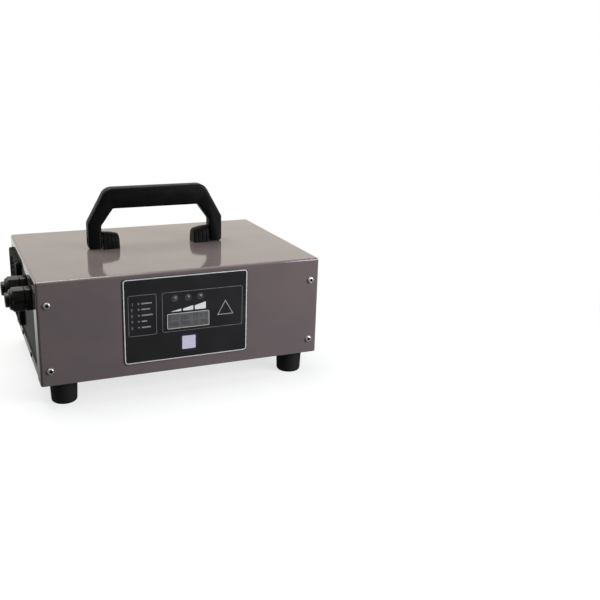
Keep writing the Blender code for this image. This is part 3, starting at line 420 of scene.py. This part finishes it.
extrudedAluminium = makeExtrusion(extrusionSettings)

# Copper wire in clear enamel, wound in close turns. Its colour holds painted light and shade: a painted
# highlight along each turn and painted shade in the gap beside it, over the turns' relief.
windingSettings = {
    # dark is the painted shade between turns and light the painted highlight on them; tintSpan stretches
    # the bands to both
    "metallic": 1.0, "roughness": 0.3, "coat": 0.6, "dark": "#6d3417", "light": "#c2703a",
    "tintSpan": (0.1, 0.9), "wire": 2.375 * mm, "wander": 0.4, "depth": 0.3 * mm,
}


def makeWinding(look):
    made, tree, shader, place = newMaterial("enamelledCopper", look)
    paintedTurnShading = addNode(tree, "ShaderNodeTexWave", {    # at scale 1 a band is a tenth of pi metres wide
        "Vector": place, "Scale": math.pi / 10 / look["wire"], "Distortion": look["wander"],
    }, wave_type="BANDS", bands_direction="Z").outputs["Fac"]
    dressShader(tree, shader, look, paintedTurnShading, paintedTurnShading)
    return made


enamelledCopper = makeWinding(windingSettings)


# Solids that stay as the frame has them. A weld, a narrow bevel and smooth shading soften them.
# Each row: how the node's name starts, its material, and the width of its rounded edges.
carriedNodes = (
    ("cover_screw", zincPlate, 0.15), ("foot_screw", zincPlate, 0.2),
    ("handle_block_screw", zincPlate, 0.2), ("handle_pin", zincPlate, 0),
    ("flange_screw", blackenedSteel, 0.15), ("fan_screw", blackenedSteel, 0.15),
    ("cover", taupePowderCoat, 0.25), ("base", taupePowderCoat, 0.25),
    ("left_end", greyPowderCoat, 0.25), ("right_end", greyPowderCoat, 0.25),
    ("foot", blackRubber, 0.3), ("gland_seal", blackRubber, 0),
    ("gland", smoothPolyamide, 0.3), ("handle_block", blackNylon, 0.35),
    ("handle", blackNylon, 0), ("fan", mattAbs, 0.25),
    ("control_panel", panelFilm, 0.15), ("display_board", solderMask, 0.2),
    ("display", displayGlass, 0.15), ("status_lamp", lampLens, 0),
    ("main_board", solderMask, 0.2), ("heatsink", extrudedAluminium, 0.3),
    ("transformer_core", sinteredFerrite, 0.5), ("transformer_winding", enamelledCopper, 0.8),
    ("output_choke", enamelledCopper, 0), ("capacitor", shrinkSleeve, 0.3),
    ("terminal", terminalNylon, 0.3),
)


edgeSettings = {
    "weld": 0.002 * mm, "segments": 2, "faceWeight": 100,
    "leastBend": 38,    # degrees: an edge that bends less stays as it is
}


def dressNode(name, node, settings):
    finish, width = next(row[1:] for row in carriedNodes if name.startswith(row[0]))
    node.data.materials.clear()
    node.data.materials.append(finish)
    kept = node.data.attributes.get("custom_normal")
    if kept:
        node.data.attributes.remove(kept)
    node.data.shade_smooth()
    weld = node.modifiers.new("weld", "WELD")
    weld.merge_threshold = settings["weld"]
    if width:
        bevel = node.modifiers.new("roundedEdges", "BEVEL")
        bevel.width = width * mm
        bevel.segments = settings["segments"]
        bevel.limit_method = "ANGLE"
        bevel.angle_limit = math.radians(settings["leastBend"])
    flatFaces = node.modifiers.new("flatFaces", "WEIGHTED_NORMAL")
    flatFaces.weight = settings["faceWeight"]
    flatFaces.keep_sharp = True


for name, node in nodes.items():
    dressNode(name, node, edgeSettings)


# shapes

def meshObject(name, bm):
    bmesh.ops.recalc_face_normals(bm, faces=bm.faces)
    mesh = bpy.data.meshes.new(name)
    bm.to_mesh(mesh)
    bm.free()
    made = bpy.data.objects.new(name, mesh)
    bpy.context.scene.collection.objects.link(made)
    return made


# Edges bent more than this many degrees stay sharp.
def smoothFaces(made, sharp=35):
    made.data.shade_smooth()
    made.data.set_sharp_from_angle(angle=math.radians(sharp))


def addPiece(name, bm, finish, body="case", standsFor=()):
    made = meshObject(name, bm)
    made.data.materials.append(finish)
    smoothFaces(made)
    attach(made, body)
    if standsFor:
        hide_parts(*standsFor)
    return made


def cutOut(made, cutters, sharp=35):
    for cutter in cutters:
        cut = made.modifiers.new("cut", "BOOLEAN")
        cut.object = cutter
    graph = bpy.context.evaluated_depsgraph_get()
    mesh = bpy.data.meshes.new_from_object(made.evaluated_get(graph))
    made.modifiers.clear()
    made.data = mesh
    for cutter in cutters:
        bpy.data.objects.remove(cutter)
    smoothFaces(made, sharp)


# Rings of points become one skin. Its ends are capped, or joined where it is a tube.
def skin(rings, tube=False, bm=None):
    if bm is None:
        bm = bmesh.new()
    rows = [[bm.verts.new(point) for point in ring] for ring in rings]
    for near, far in zip(rows, rows[1:] + rows[:1] if tube else rows[1:]):
        for i in range(len(near)):
            j = (i + 1) % len(near)
            bm.faces.new((near[i], near[j], far[j], far[i]))
    if not tube:
        bm.faces.new(rows[0])
        bm.faces.new(rows[-1][::-1])
    return bm


def evenTurns(count):
    return [2 * math.pi * i / count for i in range(count)]


def quarterTurns(steps):
    return [math.pi / 2 * step / steps for step in range(steps + 1)]


# printed panel

print("panel")
# A layer of ink stands this far in front of what it is on, and reaches this far into it.
inkLayer = {"proud": 0.04 * mm, "sunk": 0.03 * mm}


# Outlines are (x, z) pairs in mm, from the case's middle and its underside.
def inkOutline(outline, depth):
    return [(caseX + x * mm, depth, caseZ + z * mm) for x, z in outline]


def inkShape(bm, outline, face=panelFace):
    skin([inkOutline(outline, face - inkLayer["proud"]), inkOutline(outline, face + inkLayer["sunk"])],
         bm=bm)


def inkRing(bm, outer, inner):
    front, back = panelFace - inkLayer["proud"], panelFace + inkLayer["sunk"]
    skin([inkOutline(outer, front), inkOutline(outer, back), inkOutline(inner, back),
          inkOutline(inner, front)], tube=True, bm=bm)


def plainBox(bm, x0, x1, z0, z1, face=panelFace):
    inkShape(bm, [(x0, z0), (x1, z0), (x1, z1), (x0, z1)], face)


def roundOutline(x, z, radius, count):
    return [(x + radius * math.cos(turn), z + radius * math.sin(turn)) for turn in evenTurns(count)]


def roundedBox(x0, x1, z0, z1, radius, steps=6):
    points = []
    for cx, cz, start in (
        (x1 - radius, z0 + radius, -90), (x1 - radius, z1 - radius, 0),
        (x0 + radius, z1 - radius, 90), (x0 + radius, z0 + radius, 180),
    ):
        for i in range(steps + 1):
            turn = math.radians(start + 90 * i / steps)
            points.append((cx + radius * math.cos(turn), cz + radius * math.sin(turn)))
    return points


def framedBox(bm, x0, x1, z0, z1, radius, line, least=0.2):
    inner = roundedBox(x0 + line, x1 - line, z0 + line, z1 - line, max(radius - line, least))
    inkRing(bm, roundedBox(x0, x1, z0, z1, radius), inner)


panelSettings = {
    # left, right, foot and top of each box in mm, measured as the outlines are
    "border": {"box": (-70.4, 70.4, 13.65, 108.95), "radius": 3.6, "line": 1.1},
    "legend": {"box": (-65.5, -34.4, 45.0, 91.0), "radius": 2.2, "line": 0.4},
    "readout": {"box": (-28.0, 64.8, 45.6, 91.0), "radius": 2.2, "line": 0.4},
    "display": {"box": (-22.0, 25.0, 49.5, 65.7), "radius": 1.4, "line": 0.6},
    "ramp": (
        # left, right, height at each side above the foot line
        (-18.0, -6.6, 0.2, 2.6), (-4.6, 7.1, 2.4, 5.2), (9.0, 21.7, 4.9, 8.0),
    ),
    "rampFoot": 68.6,
    "triangle": {"apex": (44.6, 76.2), "base": ((35.0, 59.3), (54.3, 59.3)), "line": 0.75},
    "rows": (81.4, 74.9, 68.2, 61.4, 54.6),     # heights of the legend's rows
    "rowBars": (11.5, 9.5, 12.5, 6.0, 10.0),    # lengths of the bars that stand for words
    "rowDigit": (-62.4, 1.9, 3.2, 0.45),        # left side, width, height and line
    "rowDot": (-54.0, 0.9, 16),                 # middle, radius and sides
    "rowBar": (-51.0, 0.8),                     # left side and half the height
    "key": {"box": (-5.8, 9.6, 23.8, 39.2), "radius": 0.8, "surround": 2.2, "surroundRadius": 1.5},
    "lampRing": {"outer": 0.65, "inner": 0.05, "sides": 32},    # from the lens outwards
}


# Numerals on a panel are built from the seven strokes of a display digit.
strokesOfDigit = {
    "0": "abcdef", "1": "bc", "2": "abged", "3": "abgcd", "4": "fgbc",
    "5": "afgcd", "6": "afgedc", "7": "abc", "8": "abcdefg", "9": "abcdfg",
}


def digitStrokes(digit, x, z, width, height, line):
    half = height / 2
    boxes = {
        "a": (x, x + width, z + height - line, z + height),
        "g": (x, x + width, z + half - line / 2, z + half + line / 2),
        "d": (x, x + width, z, z + line),
        "f": (x, x + line, z + half, z + height),
        "e": (x, x + line, z, z + half),
        "b": (x + width - line, x + width, z + half, z + height),
        "c": (x + width - line, x + width, z, z + half),
    }
    return [boxes[stroke] for stroke in strokesOfDigit[digit]]


def makePanelPrint(settings):
    border = bmesh.new()
    framedBox(border, *settings["border"]["box"], settings["border"]["radius"],
              settings["border"]["line"])
    addPiece("panelBorder", border, inks["inkSilver"])

    lines = bmesh.new()
    for name in ("legend", "readout"):
        framedBox(lines, *settings[name]["box"], settings[name]["radius"], settings[name]["line"])
    addPiece("panelFrames", lines, inks["inkGrey"])

    ramp = bmesh.new()
    foot = settings["rampFoot"]
    for x0, x1, low, high in settings["ramp"]:
        inkShape(ramp, [(x0, foot), (x1, foot), (x1, foot + high), (x0, foot + low)])
    addPiece("chargeRamp", ramp, inks["inkPale"])

    mark = bmesh.new()
    apex = Vector(settings["triangle"]["apex"])
    corners = [Vector(p) for p in settings["triangle"]["base"]] + [apex]
    middle = sum(corners, Vector((0, 0))) / 3
    inset = 1 - settings["triangle"]["line"] * 3 / (apex.y - corners[0].y)
    inkRing(mark, [tuple(p) for p in corners], [tuple(middle + (p - middle) * inset) for p in corners])
    addPiece("plainTriangle", mark, inks["inkDim"])

    legend = bmesh.new()
    left, width, height, line = settings["rowDigit"]
    dotX, dotRadius, dotSides = settings["rowDot"]
    barLeft, barHalf = settings["rowBar"]
    for number, (z, length) in enumerate(zip(settings["rows"], settings["rowBars"]), 1):
        for box in digitStrokes(str(number), left, z - height / 2, width, height, line):
            plainBox(legend, *box)
        inkShape(legend, roundOutline(dotX, z, dotRadius, dotSides))
        plainBox(legend, barLeft, barLeft + length, z - barHalf, z + barHalf)
    addPiece("legendRows", legend, inks["inkFaint"])

    shape = settings["key"]
    wide = shape["surround"]
    x0, x1, z0, z1 = shape["box"]
    surround = bmesh.new()
    framedBox(surround, x0 - wide, x1 + wide, z0 - wide, z1 + wide, shape["surroundRadius"], wide)
    addPiece("keySurround", surround, inks["inkViolet"])
    key = bmesh.new()
    inkShape(key, roundedBox(x0, x1, z0, z1, shape["radius"]))
    addPiece("membraneKey", key, inks["inkLavender"])

    lampRings = bmesh.new()
    ring = settings["lampRing"]
    for number in range(3):
        low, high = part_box(f"status_lamp_{number + 1}")
        x = ((low.x + high.x) / 2 - caseX) / mm
        z = ((low.z + high.z) / 2 - caseZ) / mm
        lens = (high.x - low.x) / 2 / mm
        inkRing(lampRings, roundOutline(x, z, lens + ring["outer"], ring["sides"]),
                roundOutline(x, z, lens + ring["inner"], ring["sides"]))
    addPiece("lampRings", lampRings, inks["inkLamp"])

    bezel = bmesh.new()
    shape = settings["display"]
    line = shape["line"]
    x0, x1, z0, z1 = shape["box"]
    framedBox(bezel, x0 - line, x1 + line, z0 - line, z1 + line, shape["radius"], line)
    addPiece("displayFrame", bezel, inks["inkSilver"])


makePanelPrint(panelSettings)

# Plain figures fill the display's two rows.
displayRows = {
    "figures": ("0123 4567 89 012", "3456 7890 12 345"),
    "left": -20.4, "pitch": 2.78, "width": 1.7, "height": 4.6, "line": 0.5,    # mm
    "feet": (59.0, 51.7),
}


def makeDisplayFigures(settings):
    figures = bmesh.new()
    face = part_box("display")[0].y
    for row, foot in zip(settings["figures"], settings["feet"]):
        for column, digit in enumerate(row):
            if digit != " ":
                x = settings["left"] + settings["pitch"] * column
                strokes = digitStrokes(digit, x, foot, settings["width"], settings["height"],
                                       settings["line"])
                for box in strokes:
                    plainBox(figures, *box, face)
    addPiece("displayFigures", figures, inks["inkDark"])


makeDisplayFigures(displayRows)


# turned and moulded pieces

print("fastenings, feet and glands")


# A matrix that turns local z towards a direction, at a place.
def facing(place, direction, spin=0):
    turn = Vector(direction).to_track_quat("Z", "Y").to_matrix().to_4x4()
    return Matrix.Translation(place) @ turn @ Matrix.Rotation(math.radians(spin), 4, "Z")


def roundRing(radius, height, count):
    return [(radius * math.cos(turn), radius * math.sin(turn), height) for turn in evenTurns(count)]


# A hexagon across its flats, its corners cut to a radius.
def hexRing(flats, height, count, corner):
    points = []
    for turn in evenTurns(count):
        offMiddle = turn % (math.pi / 3) - math.pi / 6
        radius = min(flats / 2 / math.cos(offMiddle), corner)
        points.append((radius * math.cos(turn), radius * math.sin(turn), height))
    return points


# Rows are (kind, size, height) in mm: a radius, or a hexagon across its flats, whose corners are cut
# to a share of half that width.
def ringsOf(rows, place, count, corner=1.155):
    rings = []
    for kind, size, height in rows:
        if kind == "hex":
            ring = hexRing(size, height, count, size / 2 * corner)
        else:
            ring = roundRing(size, height, count)
        rings.append([place @ (Vector(point) * mm) for point in ring])
    return rings


# Heads as (radius, height, socket across its flats, shank radius, shank length) in mm.
screwSettings = {
    "cover_screw": {"head": (3.7, 2.2, 3.5, 2.0, 8.0), "finish": zincPlate, "count": 8},
    "flange_screw": {"head": (2.8, 1.0, 2.5, 1.5, 7.0), "finish": blackenedSteel, "count": 4},
    "fan_screw": {"head": (3.5, 2.0, 3.0, 2.0, 34.0), "finish": blackenedSteel, "count": 4},
}


# What all the heads share.
headSettings = {
    "socketDepth": 0.62, "socketRim": 0.62,    # shares of the socket's width across its flats
    "side": 0.25,                              # share of the height that stands upright
    "chamfer": 0.1, "gap": 0.02,               # mm: the socket's edge, and the room under the head
    "sides": 36, "steps": 5, "spin": 17,       # degrees that one socket is turned from the next
}


# A button head with a hexagon socket.
def makeScrew(name, settings, shared):
    radius, height, flats, shank, length = settings["head"]
    low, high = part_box(name)
    middle = (low + high) / 2
    if high.y - low.y > high.x - low.x:
        direction = Vector((0, -1 if middle.y < 0 else 1, 0))
        middle.y = (low.y if middle.y < 0 else high.y) - direction.y * height * mm
    else:
        direction = Vector((-1 if middle.x < caseX else 1, 0, 0))
        middle.x = (low.x if middle.x < caseX else high.x) - direction.x * height * mm
    side, gap, sides = shared["side"], shared["gap"], shared["sides"]
    rim = flats * shared["socketRim"]
    rows = [
        ("hex", flats, height - shared["socketDepth"] * flats),
        ("hex", flats, height - shared["chamfer"]), ("round", rim, height),
    ]
    rows += [
        ("round", radius - (radius - rim) * (1 - math.sin(turn)),
         height * (side + (1 - side) * math.cos(turn)))
        for turn in quarterTurns(shared["steps"])[1:]
    ]
    rows += [("round", radius, gap), ("round", shank, gap), ("round", shank, -length)]
    spin = shared["spin"] * (sum(map(ord, name)) % 4)
    bm = skin(ringsOf(rows, facing(middle, direction, spin), sides))
    bm.faces.ensure_lookup_table()
    for face in [*bm.faces[:sides], bm.faces[-2]]:    # the socket's walls and floor, which take the painted shade
        face.material_index = 1
    head = addPiece(name + "_head", bm, settings["finish"], standsFor=(name,))
    head.data.materials.append(paintedSocketShade)


for kind, settings in screwSettings.items():
    for number in range(settings["count"]):
        makeScrew(f"{kind}_{number + 1}", settings, headSettings)


footSettings = {
    "top": 15.0, "bottom": 14.0, "edge": 3.0, "height": 26.45,    # mm
    "pocket": (6.1, 14.0), "shank": 2.9, "chamfer": 0.5, "sides": 64, "steps": 6,
}


def makeFoot(name, settings):
    low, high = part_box(name)
    place = Matrix.Translation(((low.x + high.x) / 2, (low.y + high.y) / 2, 0))
    top, bottom, edge = settings["top"], settings["bottom"], settings["edge"]
    height, shank, chamfer = settings["height"], settings["shank"], settings["chamfer"]
    pocket, depth = settings["pocket"]
    rows = [("round", shank, height), ("round", top - chamfer, height), ("round", top, height - chamfer)]
    rows += [
        ("round", bottom - edge * (1 - math.cos(turn)), edge * (1 - math.sin(turn)))
        for turn in quarterTurns(settings["steps"])
    ]
    rows += [("round", pocket + chamfer, 0), ("round", pocket, chamfer), ("round", pocket, depth),
             ("round", shank, depth)]
    rings = ringsOf(rows, place, settings["sides"])
    addPiece(name + "_rubber", skin(rings, tube=True), blackRubber, standsFor=(name,))


for number in range(4):
    makeFoot(f"foot_{number + 1}", footSettings)


# Cable glands: a six-sided body against the plate, and a domed six-sided nut over its seal. Heights
# are from the plate. Each profile runs from the inside outwards, as the thing would be turned.
glandSettings = {
    "corner": 1.12, "sides": 72, "sealSides": 48,
    "body": (
        ("round", 6.3, 14.0), ("round", 8.6, 14.0), ("round", 8.6, 8.0),       # the neck in the nut
        ("hex", 22.8, 8.0), ("hex", 24.0, 7.4), ("hex", 24.0, 0.05),
        ("round", 10.0, 0.05), ("round", 10.0, -9.5), ("round", 6.3, -9.5),    # the thread
    ),
    "nutFoot": (("round", 8.7, 8.3), ("hex", 22.8, 8.3), ("hex", 24.0, 8.9), ("hex", 24.0, 20.2)),
    "dome": {"inner": 9.1, "wide": 2.4, "foot": 21.4, "rise": 2.6, "steps": 6},
    "nutNose": (
        ("round", 8.2, 24.1), ("round", 7.9, 24.8), ("round", 7.9, 27.4),
        ("round", 7.65, 27.85), ("round", 7.3, 28.0), ("round", 6.1, 28.0),
        ("round", 5.9, 27.7), ("round", 5.9, 24.0), ("round", 8.7, 14.6),      # the mouth
    ),
    "seal": (
        ("round", 4.6, 14.3), ("round", 8.2, 14.3), ("round", 8.2, 14.7), ("round", 5.8, 23.7),
        ("round", 5.8, 26.7), ("round", 5.5, 27.0), ("round", 5.0, 27.0), ("round", 4.6, 26.5),
    ),
}


def makeGland(label, settings):
    low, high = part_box("gland_body_" + label)
    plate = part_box("left_end_plate")[0].x
    place = facing((plate, (low.y + high.y) / 2, (low.z + high.z) / 2), (-1, 0, 0))
    dome = settings["dome"]
    domeRows = [
        ("round", dome["inner"] + dome["wide"] * math.cos(a), dome["foot"] + dome["rise"] * math.sin(a))
        for a in quarterTurns(dome["steps"])
    ]
    for part, rows, sides, finish in (
        ("body", settings["body"], "sides", smoothPolyamide),
        ("nut", [*settings["nutFoot"], *domeRows, *settings["nutNose"]], "sides", smoothPolyamide),
        ("seal", settings["seal"], "sealSides", blackRubber),
    ):
        rings = ringsOf(rows, place, settings[sides], settings["corner"])
        addPiece(f"gland_{label}_{part}", skin(rings, tube=True), finish,
                 standsFor=(f"gland_{part}_{label}",))


for label in ("front", "rear"):
    makeGland(label, glandSettings)


# The fan's guard: a square frame with a pocket for each screw, and wires that rise to its hub.
guardSettings = {
    "half": 40.0, "corner": 5.0, "plate": 5.9, "edge": 0.7, "opening": 36.5,    # mm
    "pocket": 4.2, "pocketFlare": 0.3, "pocketFloor": 4.0,
    "level": 4.0, "rise": 1.0,    # the wires' middles at the frame, and how far they rise inwards
    "wires": 4, "wire": (1.1, 1.5), "bar": (1.1, 1.2), "barTurns": (45, 135), "reach": 38.0,
    "hub": 9.0, "hubLift": 0.3, "hubEdge": 1.0, "hubBack": (3.6, 3.0),
    "dish": ((5.6, 0), (5.2, 0.4)),    # radius and depth of the hollow in the hub
    "frameSides": 120, "wireSides": 72, "hubSides": 48, "pocketSides": 36, "sectionSides": 12,
    "barSteps": 12,                    # from the hub's middle to either end
}


# A square with rounded corners, as a ring of points at even turns.
def squareRing(half, corner, height, count):
    points = []
    for turn in evenTurns(count):
        way = Vector((math.cos(turn), math.sin(turn)))
        far = way * half / max(abs(way.x), abs(way.y))
        if min(abs(far.x), abs(far.y)) > half - corner:
            along = (abs(way.x) + abs(way.y)) * (half - corner)
            far = way * (along + math.sqrt(along ** 2 - 2 * (half - corner) ** 2 + corner ** 2))
        points.append((far.x, far.y, height))
    return points


def makeGuard(settings):
    low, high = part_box("fan_guard")
    place = facing((high.x, (low.y + high.y) / 2, (low.z + high.z) / 2), (-1, 0, 0))
    half, corner, plate = settings["half"], settings["corner"], settings["plate"]
    opening, edge, hub = settings["opening"], settings["edge"], settings["hub"]

    def rise(radius):
        return settings["rise"] * max(0, 1 - (radius / opening) ** 2)

    def placed(points):
        return [place @ (Vector(point) * mm) for point in points]

    arc, sides = quarterTurns(3), settings["frameSides"]
    insets = [(edge * (1 - math.cos(a)), plate - edge * (1 - math.sin(a))) for a in arc]
    frameRings = [squareRing(half, corner, 0, sides)]
    frameRings += [squareRing(half - inset, corner - inset, z, sides) for inset, z in insets]
    frameRings += [roundRing(opening + inset, z, sides) for inset, z in insets[::-1]]
    frameRings.append(roundRing(opening, 0, sides))
    frameSkin = skin([placed(ring) for ring in frameRings], tube=True)
    guardFrame = addPiece("fanGuardFrame", frameSkin, mattAbs, standsFor=("fan_guard",))
    pocket, flare, floor = settings["pocket"], settings["pocketFlare"], settings["pocketFloor"]
    rows = [("round", pocket, 0), ("round", pocket + flare, floor)]
    pockets = []
    for number in range(4):
        low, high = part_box(f"fan_screw_{number + 1}")
        screw = (low + high) / 2
        screw.x = place.translation.x - floor * mm
        rings = ringsOf(rows, facing(screw, (-1, 0, 0)), settings["pocketSides"])
        pockets.append(meshObject("pocket", skin(rings)))
    cutOut(guardFrame, pockets)

    bm = bmesh.new()
    level = settings["level"]
    wide, tall = settings["wire"]
    sides, section = settings["wireSides"], evenTurns(settings["sectionSides"])
    pitch = (opening - hub) / (settings["wires"] + 0.5)    # three quarters of it are left at each end
    for number in range(settings["wires"]):
        middle = hub + pitch * (number + 0.75)
        height = level + rise(middle)
        skin([
            placed(roundRing(middle + wide * math.cos(a), height + tall * math.sin(a), sides))
            for a in section
        ], tube=True, bm=bm)

    wide, tall = settings["bar"]
    steps = settings["barSteps"]
    for turn in settings["barTurns"]:
        across = Matrix.Rotation(math.radians(turn), 4, "Z")
        rings = []
        for step in range(-steps, steps + 1):
            x = settings["reach"] * step / steps
            middle = level + rise(abs(x))
            rings.append(placed([
                across @ Vector((x, wide * math.cos(a), middle + tall * math.sin(a))) for a in section
            ]))
        skin(rings, bm=bm)

    top = level + tall + settings["hubLift"] + rise(hub)
    bend, (back, foot) = settings["hubEdge"], settings["hubBack"]
    disc = [(hub - bend, top - back), (hub, top - foot)]
    disc += [(hub - bend * (1 - math.cos(a)), top - bend * (1 - math.sin(a))) for a in arc]
    disc += [(radius, top - depth) for radius, depth in settings["dish"]]
    skin([placed(roundRing(radius, height, settings["hubSides"])) for radius, height in disc], bm=bm)
    addPiece("fanGuardWires", bm, mattAbs, standsFor=("fan_guard",))


makeGuard(guardSettings)


# handle

print("handle")
handleSettings = {
    "span": 165.0, "rise": 71.5, "grip": 24.4, "leg": 16.0, "lean": 22.5, "innerLean": 14.3,    # mm
    "outerKnee": 31.0, "innerKnee": 27.5, "foot": 0.4, "pivot": 10.0,
    "footEdge": 0.75,        # share of the rounding that the feet's front is spared
    "depth": 16.0, "edge": 3.0, "edgeSteps": 5,
    "round": {"foot": 3.2, "knee": 6.0, "top": 14.0, "inside": 2.5},
    "bore": 3.35, "borePast": 2.0, "boreSides": 48,    # its cutter goes this far past the leg
    "seam": (0.25, 0.15),    # half-width and depth of the mould's parting line
    "backLayers": (1.8, 3.4),    # depths between the seam and the back's rounding
    "sharp": 30,             # degrees
}


# Corners as (x, height above the lid, fillet radius), once round the handle from the front.
def handleCorners(settings, foot):
    half = settings["span"] / 2
    inner = half - settings["leg"]
    top, under = settings["rise"], settings["rise"] - settings["grip"]
    innerLean = settings["innerLean"]
    fillet = settings["round"]
    right = [
        (inner, foot, fillet["foot"]), (half, foot, fillet["foot"]),
        (half, settings["outerKnee"], fillet["knee"]), (half - settings["lean"], top, fillet["top"]),
    ]
    left = [(-x, z, radius) for x, z, radius in right[::-1]]
    inside = [
        (-inner, settings["innerKnee"], -fillet["inside"]),
        (-inner + innerLean, under, -fillet["inside"]),
        (inner - innerLean, under, -fillet["inside"]),
        (inner, settings["innerKnee"], -fillet["inside"]),
    ]
    return right + left + inside


# The outline drawn in by a distance, with its corners rounded. A hollow corner's radius is negative.
def roundedOutline(corners, inset, steps=6):
    count = len(corners)
    spots = [Vector((x, z)) for x, z, radius in corners]
    moved = []
    for i in range(count):
        before = (spots[i] - spots[i - 1]).normalized()
        after = (spots[(i + 1) % count] - spots[i]).normalized()
        inward = Vector((-before.y, before.x)), Vector((-after.y, after.x))
        middle = (inward[0] + inward[1]).normalized()
        moved.append(spots[i] + middle * inset / middle.dot(inward[0]))
    points = []
    for i in range(count):
        before = (moved[i] - moved[i - 1]).normalized()
        after = (moved[(i + 1) % count] - moved[i]).normalized()
        radius = abs(corners[i][2] - inset)
        bent = before.angle(after)
        trim = radius * math.tan(bent / 2)
        side = 1 if corners[i][2] > 0 else -1
        start = moved[i] - before * trim
        centre = start + Vector((-before.y, before.x)) * radius * side
        arm = start - centre
        for step in range(steps + 1):
            turn = side * bent * step / steps
            points.append(centre + Matrix.Rotation(turn, 2) @ arm)
    return points


# The depths of the layers from front to back, each with how far its outline is drawn in.
def handleLayers(settings):
    half, edge, steps = settings["depth"] / 2, settings["edge"], settings["edgeSteps"]
    front = [(-half + edge * (1 - math.cos(a)), edge * (1 - math.sin(a))) for a in quarterTurns(steps)]
    wide, deep = settings["seam"]
    seam = [(-wide, 0), (-wide / 2, deep), (wide / 2, deep), (wide, 0)]
    back = [(y, 0) for y in settings["backLayers"]] + [(-y, inset) for y, inset in front[::-1]]
    return front + seam + back


def makeHandle(settings):
    low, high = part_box("handle")
    middle = Vector(((low.x + high.x) / 2, (low.y + high.y) / 2, coverHigh.z))
    half, drop = settings["depth"] / 2, settings["pivot"] - settings["foot"]
    rings = []
    for y, inset in handleLayers(settings):
        foot = settings["foot"] - settings["footEdge"] * inset
        if y > 0:
            foot = settings["pivot"] - drop * math.sqrt(max(0, 1 - (y / half) ** 2)) - inset * y / half
        outline = roundedOutline(handleCorners(settings, foot), inset)
        rings.append([middle + Vector((x, y, z)) * mm for x, z in outline])
    handle = addPiece("carryHandle", skin(rings), blackNylon, "carrying_handle", ("handle",))
    leg, past = settings["leg"], settings["borePast"]
    rows = [("round", settings["bore"], 0), ("round", settings["bore"], leg + 2 * past)]
    sides = settings["boreSides"]
    bores = []
    for side in (-1, 1):
        place = middle + Vector((side * (settings["span"] / 2 - leg - past) * mm, 0,
                                 settings["pivot"] * mm))
        bores.append(meshObject("bore", skin(ringsOf(rows, facing(place, (side, 0, 0)), sides))))
    cutOut(handle, bores, settings["sharp"])


makeHandle(handleSettings)
